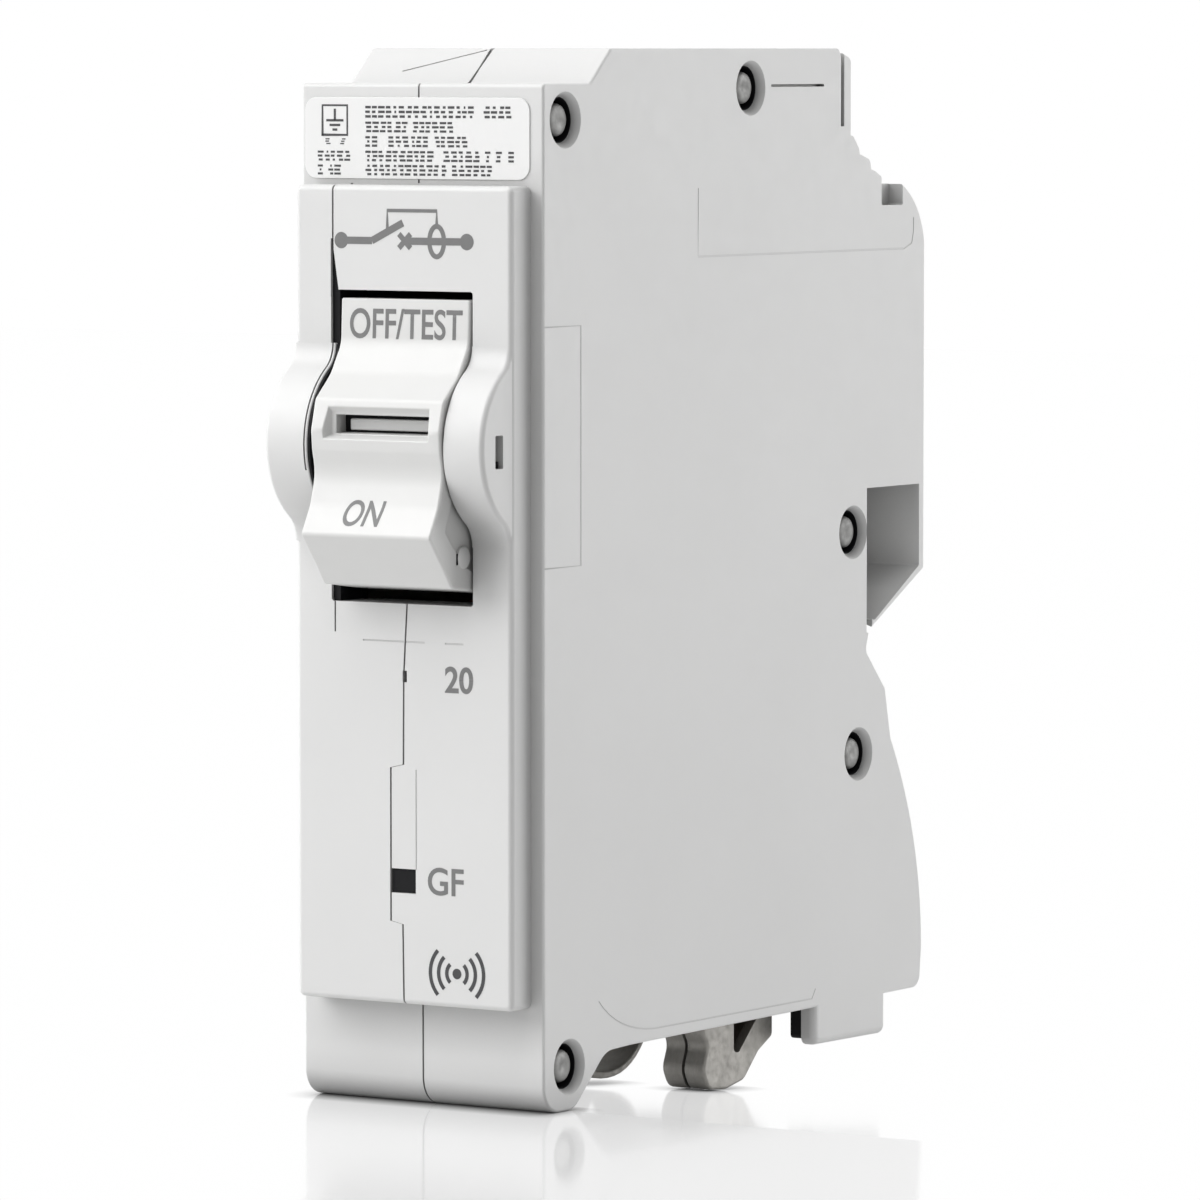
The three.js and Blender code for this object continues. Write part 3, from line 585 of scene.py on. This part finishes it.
def front_openings():
    """Ways in for the handle, lamp, bus stab and the two contacts below."""
    well = prism("y", box_outline(WELL["left"], WELL["right"], WELL["bottom"], WELL["top"], 0.25), (-12, 6))
    lamp = block((WINDOW["left"], WINDOW["right"]), (-6, 6), (WINDOW["bottom"], WINDOW["top"]))
    stab = prism("y", box_outline(-8.4, -1.6, 45.4, 54.4, 0.5), (60, 66))
    load_way = prism("z", box_outline(2.9, 8.8, 29.2, 42.6, 0.5), (4, 8))
    neutral_way = prism("z", box_outline(-5.7, -0.5, 23.2, 37.6, 0.5), (4, 8))
    seam_notch = block((-0.1, 0.35), (-4, 0), (36.9, 37.9))
    return [well, lamp, stab, load_way, neutral_way, seam_notch]


def cheek_slot():
    """A shallow slot in the right cheek's outer side, deep at its lower end."""
    outer = CHEEKS[1][1]
    return [prism("x", box_outline(-5.3, -4.1, 55.6, 58.45, 0.15), (outer - 0.7, 12)),
            block((outer - 3.0, 12), (-5.1, -4.3), (55.7, 56.15))]


def slope_line(start, end, width, depth):
    """A groove between two (x, z) points on the slope behind the label ledge."""
    (y0, z0), (y1, z1) = SLOPE
    lean = (y1 - y0) / (z1 - z0)
    normal = Vector((-1, lean)).normalized()
    rings = []
    for level in (-depth, 0.5):
        rings.append([(p.x, y0 + (p.y - z0) * lean + normal.x * level, p.y + normal.y * level)
                      for p in band([start, end], width)])
    return loft("slope_line", rings)


def mould_lines():
    """Faint lines on the cover, under the handle and beside the window, and two on the top slope."""
    face = COVER["face"]
    across = [block(xs, (-4, face + 0.05), (40.32, 40.46)) for xs in ((-4.2, 2.2), (4.3, 6.2))]
    left = block((-7.2, -7.05), (-4, face + 0.5), (41.0, 44.0))
    beside = block((1.25, 1.35), (-4, face + 0.05), (20.8, 29.4))
    creases = [slope_line((-0.06, 88.0), (0.35, 91.5), 0.17, 0.2),
               slope_line((-7.75, 89.2), (-0.2, 91.05), 0.1, 0.08)]
    return [*across, left, beside, *creases]


def pocket_mouth():
    """The bevel along the front edge of the pocket's mouth."""
    corners = ((54.9, 38.2), (54.9, 51.4), (53.9, 51.4), (53.9, 38.2))
    return loft("mouth", [[(level, y + shift, z) for y, z in corners]
                          for level, shift in ((11.2, 0.0), (HALF + 0.5, -0.85))])


def hollow_case():
    """Both case halves in one piece, with their posts, bosses, openings and marks."""
    body = prism("x", case_outline(), (-HALF, HALF), (0.25, 0.25), 4)
    join(body, cover_plate(), *rail_hooks())
    inner = HALF - WALL
    hollows = [prism("x", cavity_outline(), (-inner, inner))]
    hollows += [block((-9.4, 9.4), (-1.2, 2.2), zs) for zs in ((11.0, 41.6), (72.4, 77.6))]
    cut(body, *hollows)
    posts = [rod("x", centre, 3.1, (-inner - 0.5, inner + 0.5), 24) for centre in RIVETS]
    bosses = [rod("x", PIVOT, 3.4, span, 24)
              for span in ((-inner - 0.1, CHEEKS[0][1] - 0.3), (CHEEKS[1][0] + 0.3, inner + 0.1))]
    pocket_walls = common(
        prism("x", inset(turn_even(rounded(POCKET)), -1.3), (4.6, inner + 0.5)),
        prism("x", inset(turn_even(case_outline()), 0.3), (-HALF, HALF)))
    join(body, *posts, *bosses, pocket_walls)
    pocket = prism("x", rounded(POCKET), (5.9, HALF + 1))
    cut(body, pocket, pocket_mouth(), *rivet_seats(), *front_openings(), *side_marks(), *mould_lines())
    join(body, *cheeks())
    return cut(body, rod("x", PIVOT, 1.55, (-9.6, 9.6), 32), *cheek_slot())


def seam_side(gap):
    """All that lies right of the seam, moved left by the gap. The seam steps round the lamp window
    and, above the handle, runs up the left edge of the name panel."""
    low = [(0.05, -5), (0.0, 9.1), (-0.1, 16.0), (-1.34, 16.25), (-1.34, 29.5), (-0.02, 29.8), (0.02, 37.4),
           (0.38, WELL["bottom"]), (0.38, 55)]
    high = [(-7.3, 55.1), (-7.3, 79.6), (-0.3, 79.65), (-0.3, 100)]
    far = [(HALF + 5, 100), (HALF + 5, -5)]
    front = prism("y", [(x - gap, z) for x, z in low + high] + far, (-20, 2.2))
    behind = block((0.12 - gap, HALF + 5), (2.1, 80), (-5, 100))
    return join(front, behind)


def wedge_gap():
    """The gap beside the name panel, which widens down towards the handle."""
    return prism("y", [(-7.52, 74.9), (-7.35, 74.9), (-6.7, 70.45), (-6.7, 69.9), (-7.52, 69.9)], (-12, 6))


def make_case():
    shell = hollow_case()
    cut(shell, wedge_gap())
    left = cut(copy_of(shell), seam_side(SEAM))
    right = common(shell, seam_side(-SEAM))
    for piece, name in ((right, "right_case_half"), (left, "left_case_half")):
        tidy(piece, flat=False)
        dress(piece, "shell_" + name, "case", MATERIALS["case_plastic"], [name])


def make_tongue():
    """The tongue of the right half, which closes the joint behind the front just under the surface."""
    ring = prism("x", inset(turn_even(case_outline()), 0.4), (-0.4, 0.65))
    inside = prism("x", inset(turn_even(cavity_outline()), 0.1), (-1, 1))
    ways = [block((-9, 9), (58, 66), (45.0, 55.0)), block((-9, 9), (22.8, 43.0), (-5, 12)),
            block((-9, 9), (-5, 2.3), (-5, 100))]
    dress(cut(ring, inside, *ways), "case_tongue", "case", MATERIALS["case_plastic"])


def make_well_shade_liner():
    """Black moulding as painted shade left of the rocker, beside the name panel, on the left cheek's inside
    and in the right cheek's slot.
    """
    left, edge = WELL["left"], HANDLE["left"] - 0.3
    low, high = WELL["bottom"], 74.85
    corners = [(left, low), (edge, low), (edge, 70.45), (-7.35, high), (left, high)]
    strip = prism("y", corners, (-2.6, 1.5))
    plate = prism("x", inset(turn_even(cheek_outline()), 0.1), (CHEEKS[0][1] - 0.08, CHEEKS[0][1] + 0.22))
    slot = CHEEKS[1][1] - 0.5
    slot_end = block((slot - 0.6, slot), (-5.25, -4.15), (55.65, 56.2))
    join(strip, plate, slot_end)
    dress(strip, "well_shade_liner", "case", MATERIALS["black_moulding"])


# ---------------------------------------------------------------- rivets
def make_rivets():
    """Steel rivets: a dimpled head stands at the bottom of each seat, in a black sleeve that is painted shade
    on the seat's wall.
    """
    top = HALF - 0.62
    sleeve = [(1.96, 0.74), (1.96, 3.9), (1.45, 3.9), (1.45, 3.6), (1.9, 3.6), (1.9, 0.74)]
    for i, centre in enumerate(RIVETS):
        head = [(1.3, 0), (1.3, top - 1.3), (1.42, top - 1.2), (1.42, top - 0.4), (1.34, top - 0.2),
                (1.15, top - 0.06), (0.8, top), (0.5, top - 0.03), (0.25, top - 0.12), (0.02, top - 0.15)]
        ends = [(r, -level) for r, level in head[:0:-1]] + head
        piece = lathe("x", centre, ends, 32)
        dress(piece, f"rivet_{i + 1}", "case", MATERIALS["rivet_steel"],
              [f"case_rivet_{i + 1}"])
        # The black sleeve lines each seat's wall as painted shade.
        for side, word in ((-1, "left"), (1, "right")):
            ring = tube("x", centre, [(r, side * (HALF - depth)) for r, depth in sleeve], 36)
            dress(ring, f"rivet_shade_sleeve_{i + 1}_{word}", "case", MATERIALS["black_moulding"])


# ---------------------------------------------------------------- handle
def handle_front():
    """The visible profile of the rocker from the top of its off panel to the start of its skirt."""
    return rounded([
        (-2.9, 69.8, 0), (-3.05, 65.9, 2.5), (-4.6, 63.4, 3), (-6.9, 61.3, 0.9), (-7.6, 58.6, 1.5),
        (-7.45, 56.9, 2), (-6.98, 54.9, 4), (-7.75, 52.2, 3), (-9.1, 49.75, 0.45), (-8.0, 48.35, 2),
        (-6.9, 47.0, 2), (-5.7, 45.35, 0.6), (-4.1, 44.85, 0)], 8)[:-1]


def handle_solid():
    """The rocker as a shell that goes round the pin, with a hub and three webs inside."""
    centre = PIVOT
    back = [Vector(p) for p in ((-6.6, 50.2), (-5.0, 54.2), (-4.6, 57.0), (-3.2, 58.2), (-3.2, 61.2),
                                (-1.0, 64.6), (-1.0, 69.8))]
    outline = (handle_front() + arc(centre, SKIRT["outer"], 262, 320, 20)
               + arc(centre, SKIRT["inner"], 320, 246, 20) + back)
    shell = prism("x", outline, (HANDLE["left"], HANDLE["right"]), (0.25, 0.25), 3)
    hub = rod("x", centre, 3.6, (HANDLE["left"] + 0.3, HANDLE["right"] - 0.3))
    web = rounded([(-5.9, 48.2, 1), (-6.9, 50.4, 1), (-5.6, 57.2, 1), (-3.8, 60.8, 1), (-1.4, 65.6, 1),
                   (1.2, 65.0, 1), (3.4, 60.0, 2), (6.8, 50.2, 2), (6.4, 47.0, 1), (0.7, 45.2, 1),
                   (-4.6, 46.2, 1)])
    webs = [prism("x", web, (x, x + 1.6)) for x in (HANDLE["left"] + 0.25, -1.0, HANDLE["right"] - 1.85)]
    return join(shell, hub, *webs)


def finger_recess():
    """A tapered mouth across the rocker that ends in a narrow slot."""
    rings = []
    for y, x0, x1, z0, z1 in ((-9.0, -6.0, 6.2, 57.2, 63.0), (-6.75, -4.7, 5.45, 58.25, 60.25),
                              (-6.74, -4.3, 5.3, 58.35, 59.95), (-4.9, -4.3, 5.2, 58.45, 59.9)):
        rings.append([(x0, y, z0), (x1, y, z0), (x1, y, z1), (x0, y, z1)])
    return loft("recess", rings)


def make_handle():
    piece = handle_solid()
    bore = rod("x", PIVOT, 1.6, (-9, 9), 32)
    cut(piece, bore, finger_recess())
    soften(piece, 0.1, 40, 2)
    dress(piece, "rocker", "handle", MATERIALS["handle_plastic"], ["handle"])
    bar = prism("y", box_outline(-3.45, 5.05, 58.62, 59.62, 0.15), (-5.85, -4.8), (0.12, 0), 3)
    dress(bar, "rocker_bar", "handle", MATERIALS["handle_plastic"])
    # A black plate at the bottom of the finger slot: painted shade in the slot and in the gaps round the bar.
    behind = prism("y", box_outline(-4.35, 5.25, 58.4, 59.95), (-5.3, -4.85))
    dress(behind, "rocker_shade_slot_back", "handle", MATERIALS["black_moulding"])
    make_pip()


def make_pip():
    """The round boss low on the rocker's right side, with a short black plate beside it as the painted shade
    of a slot.
    """
    side = HANDLE["right"]
    profile = [(0.95, side - 0.3), (0.95, side + 0.02), (0.8, side + 0.14), (0.02, side + 0.16)]
    pip = lathe("x", (-3.95, 47.9), profile, 24)
    dress(pip, "rocker_pip", "handle", MATERIALS["handle_plastic"])
    # A thin black plate stands for the slot as painted shade.
    slot = prism("x", box_outline(-5.1, -4.85, 47.3, 48.3, 0.1), (side - 0.3, side + 0.03))
    dress(slot, "rocker_shade_slot", "handle", MATERIALS["black_moulding"])


# ---------------------------------------------------------------- printing
def letter_mesh(text, weight=0.0):
    """The outline of a line of text as a thin solid in its own plane."""
    curve = bpy.data.curves.new(text, "FONT")
    curve.body = text
    curve.size = 1
    curve.offset = weight
    curve.extrude = 0.01
    curve.resolution_u = 6
    source = bpy.data.objects.new(text, curve)
    bpy.context.scene.collection.objects.link(source)
    graph = bpy.context.evaluated_depsgraph_get()
    mesh = bpy.data.meshes.new_from_object(source.evaluated_get(graph))
    bpy.data.objects.remove(source)
    return mesh


def lettering(name, text, xs, zs, surface, body, ink=INK, weight=0.012, slant=0.0):
    """Text fitted to a box on a surface, which is a function that gives y from z."""
    mesh = letter_mesh(text, weight)
    work = bmesh.new()
    work.from_mesh(mesh)
    bmesh.ops.remove_doubles(work, verts=work.verts, dist=1e-5)
    low = Vector([min(v.co[i] for v in work.verts) for i in range(3)])
    high = Vector([max(v.co[i] for v in work.verts) for i in range(3)])
    rows = 12
    for k in range(1, rows):
        level = low.y + (high.y - low.y) * k / rows
        bmesh.ops.bisect_plane(work, geom=work.verts[:] + work.edges[:] + work.faces[:],
                               plane_co=(0, level, 0), plane_no=(0, 1, 0))
    for v in work.verts:
        across = (v.co.x - low.x) / (high.x - low.x)
        up = (v.co.y - low.y) / (high.y - low.y)
        z = zs[0] + up * (zs[1] - zs[0])
        x = xs[0] + across * (xs[1] - xs[0]) + slant * (up - 0.5)
        y = surface(z) + (-INK_RISE if v.co.z > 0 else INK_ROOT)
        v.co = (x, y, z)
    bmesh.ops.recalc_face_normals(work, faces=work.faces)
    work.to_mesh(mesh)
    work.free()
    piece = bpy.data.objects.new(name, mesh)
    bpy.context.scene.collection.objects.link(piece)
    return dress(piece, name, body, ink,
                 smooth_angle=20)


def on_cover(_z):
    return COVER["face"]


def on_handle(z):
    """The front of the rocker at a height."""
    line = handle_front()
    for a, b in zip(line, line[1:]):
        if b.y <= z <= a.y and a.y > b.y:
            return a.x + (b.x - a.x) * (a.y - z) / (a.y - b.y)
    return line[0].x


def print_shapes(name, outlines, face, ink):
    """Flat inked shapes in (x, z) on a face at y, as one thin piece. A few may overlap; many may not."""
    shapes = [prism("y", outline, (face - INK_RISE, face + INK_ROOT)) for outline in outlines]
    base = shapes[0]
    if len(shapes) < FEW_SHAPES:
        join(base, *shapes[1:])
    else:
        gather(base, shapes[1:])
    return dress(base, name, "case", ink, smooth_angle=20)


def gather(base, others):
    """Puts the meshes of the others into base, as separate shells. The others are used up."""
    work = bmesh.new()
    for shape in (base, *others):
        work.from_mesh(shape.data)
    work.to_mesh(base.data)
    work.free()
    for shape in others:
        bpy.data.objects.remove(shape)


def make_prints():
    """Function words, a figure, a signal icon, and a circuit symbol above the handle."""
    lettering("print_on", "ON", (-2.55, 1.35), (50.55, 52.75), on_handle, "handle", slant=0.35)
    lettering("print_off", "OFF/TEST", (-5.45, 6.2), (66.35, 68.95), on_handle, "handle")
    lettering("print_rating", "20", (4.3, 7.2), (36.15, 38.45), on_cover, "case", weight=0.02)
    lettering("print_gf", "GF", (2.5, 6.2), (18.7, 21.1), on_cover, "case")
    centre = (5.5, 12.05)
    waves = [arc(centre, 0.45, 0, 350, 35)]
    for radius, half_angle in ((1.05, 48), (1.9, 46), (2.75, 44)):
        for middle in (0, 180):
            waves.append(band(arc(centre, radius, middle - half_angle, middle + half_angle, 14), 0.34))
    print_shapes("print_signal", waves, COVER["face"], DARK_INK)
    make_symbol()


def make_symbol():
    """A residual-current breaker's circuit symbol: line, cross, open blade and sensing ring."""
    z = 74.75
    stroke = 0.62
    line = [band([(-6.5, z), (-3.2, z)], stroke), band([(0.2, z), (6.7, z)], stroke)]
    blade = band([(-3.2, z), (0.0, z + 1.55)], stroke)
    cross = [band([(0.2 - 0.6, z - s * 0.6), (0.2 + 0.6, z + s * 0.6)], 0.48) for s in (-1, 1)]
    ends = [arc((-6.4, z), 0.7, 0, 350, 35), arc((6.6, z), 0.7, 0, 350, 35)]
    ring = [band([(3.5 + 0.75 * math.cos(a), z + 1.3 * math.sin(a)) for a in
                  [math.radians(10 * k) for k in range(k0, k0 + 19)]], 0.42) for k0 in (0, 18)]
    link = [band([(3.5, z + 1.3), (3.5, z + 2.6), (-1.6, z + 2.6), (-1.6, z + 1.0)], 0.3)]
    print_shapes("print_symbol", line + [blade] + cross + ends + ring + link, COVER["face"], INK)


def make_label():
    """White film label with greeked rows of type and an earth symbol, no real lettering."""
    top = -0.10
    plate = prism("y", box_outline(-12.15, 11.15, 80.0, 87.0, 1.15), (top, -0.005), (0.05, 0), 3)
    dress(plate, "label_plate", "case", MATERIALS["label_film"], ["rating_label"])
    draw = random.Random(7)
    marks = []
    for x0, x1, z, tall in LABEL_ROWS:
        x = x0
        while x < x1 - 0.3:
            wide = 0.5 + 0.2 * draw.random()
            if draw.random() < 0.14:
                x += 0.45
                continue
            marks += greeked_glyph(draw, x, min(x + wide, x1), z, tall)
            x += wide + 0.13
    symbol_z = 85.0
    frame_lines = [band([(-10.3, 83.75), (-7.7, 83.75), (-7.7, 86.3), (-10.3, 86.3), (-10.3, 83.65)], 0.22)]
    earth = [band([(-9.0, 86.0), (-9.0, symbol_z)], 0.22)]
    earth += [band([(-9.0 - w, symbol_z - 0.4 * k), (-9.0 + w, symbol_z - 0.4 * k)], 0.2)
              for k, w in enumerate((0.9, 0.55, 0.25))]
    print_shapes("label_print", marks + frame_lines + earth, top, DARK_INK)


def greeked_glyph(draw, x0, x1, z, tall):
    """Three short dashes of uneven length, one above another, which read as small type."""
    bar = tall * 0.21
    dashes = []
    for level in (-0.4, 0.0, 0.4):
        left = x0 + draw.choice((0, 0, 0.1, 0.2))
        right = x1 - draw.choice((0, 0, 0.1, 0.15))
        middle = z + tall * level
        dashes.append(box_outline(left, right, middle - bar / 2, middle + bar / 2))
    return dashes


# ---------------------------------------------------------------- contacts below
def make_load_jaw():
    """Two stamped leaves side by side whose flank has a window between two bars and a slanting leg."""
    outline = rounded([(31.6, 7.2, 0), (31.6, 3.6, 1.2), (32.5, 2.3, 1.2), (31.6, 0.2, 1.5),
                       (32.6, -1.6, 1.4), (35.6, -1.85, 1.4), (38.6, -1.3, 1.5), (41.0, 1.0, 1.2),
                       (43.4, 2.2, 0.6), (43.4, 7.2, 0)], 8)
    window = rounded([(36.8, 7.6, 0), (36.8, 1.4, 0.5), (37.6, 1.3, 0.4), (41.2, 4.6, 0.5), (41.2, 7.6, 0)])
    body = cut(prism("x", outline, (4.2, 8.7), (0.3, 0.3), 3), prism("x", window, (7.0, 12)))
    inside = rounded([(32.8, 8, 0), (32.8, 2.2, 0.5), (33.0, 0.4, 1), (34.0, -0.9, 0.8), (37.5, -0.5, 1),
                      (42.3, 3.6, 1), (42.3, 8, 0)])
    hollow = prism("x", inside, (5.2, 7.7))
    split = block((6.3, 6.55), (20, 37.0), (-4, 9))
    cut(body, hollow, split)
    soften(body, 0.12, 40, 2)
    dress(body, "load_jaw_leaves", "case", MATERIALS["tinned_copper"], ["load_jaw"])


def make_neutral_contact():
    """A spoon-shaped leaf that curves down below the case."""
    front = bend((26.2, 9.2), (25.5, 1.4), (29.2, -0.5), 10)
    rear = bend((29.2, -0.5), (36.2, -1.9), (38.8, 5.0), 12)
    line = front + rear[1:] + [Vector((38.8, 9.2))]
    leaf = prism("x", band(line, 0.7), (-5.2, -1.2), (0.2, 0.2), 3)
    soften(leaf, 0.05, 50, 1)
    dress(leaf, "neutral_leaf", "case", MATERIALS["tinned_copper"], ["neutral_contact"])


# ---------------------------------------------------------------- stage
def make_floor():
    """A pale glossy floor, level but for a slight fall from the foot to the load jaw, which hangs lower."""
    reach = 1600
    line = [(-reach, -0.02), (4.0, -0.02), (34.6, -1.87), (44.4, -2.45), (reach, -2.45)]
    mesh = bpy.data.meshes.new("floor")
    corners = [PLACE @ Vector((x, y, z)) for y, z in line for x in (-reach, reach)]
    mesh.from_pydata([tuple(p) for p in corners], [], [(i, i + 1, i + 3, i + 2) for i in (0, 2, 4, 6)])
    floor = bpy.data.objects.new("floor", mesh)
    bpy.context.scene.collection.objects.link(floor)
    material = bpy.data.materials.new("floor")
    material.use_nodes = True
    nodes, links = material.node_tree.nodes, material.node_tree.links
    nodes.clear()
    path = nodes.new("ShaderNodeLightPath")
    level = nodes.new("ShaderNodeMapRange")
    level.inputs["To Min"].default_value = 1.16
    level.inputs["To Max"].default_value = 0.46
    glow = nodes.new("ShaderNodeEmission")
    gloss = nodes.new("ShaderNodeBsdfGlossy")
    gloss.inputs["Roughness"].default_value = 0.09
    mix = nodes.new("ShaderNodeMixShader")
    mix.inputs[0].default_value = 0.45
    end = nodes.new("ShaderNodeOutputMaterial")
    links.new(path.outputs["Is Diffuse Ray"], level.inputs["Value"])
    # A faint shade gathers where the foot and the jaw touch the floor.
    nearby = nodes.new("ShaderNodeAmbientOcclusion")
    nearby.samples = 8
    nearby.inputs["Distance"].default_value = 0.0025
    shade = nodes.new("ShaderNodeMath")
    shade.operation = "MULTIPLY"
    links.new(level.outputs["Result"], shade.inputs[0])
    links.new(nearby.outputs["AO"], shade.inputs[1])
    links.new(shade.outputs[0], glow.inputs["Strength"])
    links.new(glow.outputs[0], mix.inputs[1])
    links.new(gloss.outputs[0], mix.inputs[2])
    links.new(mix.outputs[0], end.inputs["Surface"])
    mesh.materials.append(material)


def make_camera():
    camera = bpy.data.objects.new("camera", bpy.data.cameras.new("camera"))
    bpy.context.scene.collection.objects.link(camera)
    camera.data.sensor_width = 36
    camera.data.lens = CAMERA["lens"]
    camera.data.clip_start = 0.01
    camera.location = (CAMERA["across"], FRONT_Y - CAMERA["before"], FOOT_Z + CAMERA["above"])
    camera.rotation_euler = (math.radians(90 - CAMERA["below_level"]), 0, math.radians(CAMERA["azimuth"]))
    bpy.context.scene.camera = camera


def soft_light(name, azimuth, elevation, distance, width, height, power):
    """A rectangular softbox that looks at the breaker. Azimuth 0 is the breaker's right."""
    light = bpy.data.lights.new(name, "AREA")
    light.shape = "RECTANGLE"
    light.size = width
    light.size_y = height
    light.energy = power
    lamp = bpy.data.objects.new(name, light)
    bpy.context.scene.collection.objects.link(lamp)
    a, e = math.radians(azimuth), math.radians(elevation)
    direction = Vector((math.cos(e) * math.cos(a), math.cos(e) * math.sin(a), math.sin(e)))
    target = Vector((0, 0, 0.045))
    lamp.location = target + direction * distance
    lamp.rotation_euler = direction.to_track_quat("Z", "Y").to_euler()


def make_light():
    """White surroundings that light dimly, with softboxes at the front left, back right and above."""
    world = bpy.data.worlds.new("white_studio")
    world.use_nodes = True
    bpy.context.scene.world = world
    nodes, links = world.node_tree.nodes, world.node_tree.links
    background = nodes["Background"]
    background.inputs["Color"].default_value = (1, 1, 1, 1)
    path = nodes.new("ShaderNodeLightPath")
    level = nodes.new("ShaderNodeMapRange")
    level.inputs["To Min"].default_value = 1.0
    level.inputs["To Max"].default_value = 0.28
    links.new(path.outputs["Is Diffuse Ray"], level.inputs["Value"])
    links.new(level.outputs["Result"], background.inputs["Strength"])
    # Towards the front right the room is dark, which gives the case its dark front edges.
    place = nodes.new("ShaderNodeTexCoord")
    towards = nodes.new("ShaderNodeVectorMath")
    towards.operation = "DOT_PRODUCT"
    towards.inputs[1].default_value = (0.5446, -0.8387, 0.0)
    fade = nodes.new("ShaderNodeMapRange")
    fade.interpolation_type = "SMOOTHSTEP"
    fade.inputs["From Min"].default_value = 0.12
    fade.inputs["From Max"].default_value = 0.85
    fade.inputs["To Min"].default_value = 0.28
    fade.inputs["To Max"].default_value = 0.02
    links.new(place.outputs["Generated"], towards.inputs[0])
    links.new(towards.outputs["Value"], fade.inputs["Value"])
    links.new(fade.outputs["Result"], level.inputs["To Max"])
    soft_light("front_left", -140, 31, 1.2, 0.9, 0.9, 10.8)
    soft_light("back_right", 50, 12, 1.2, 0.9, 0.9, 6.5)
    soft_light("above", -100, 72, 1.1, 0.9, 0.9, 5.2)


bpy.context.scene.view_settings.view_transform = "Standard"
make_camera()
make_light()
dress_cad_nodes()
make_case()
make_tongue()
make_well_shade_liner()
make_hook_shade_webs()
make_rivets()
make_handle()
make_prints()
make_label()
make_load_jaw()
make_neutral_contact()
make_floor()
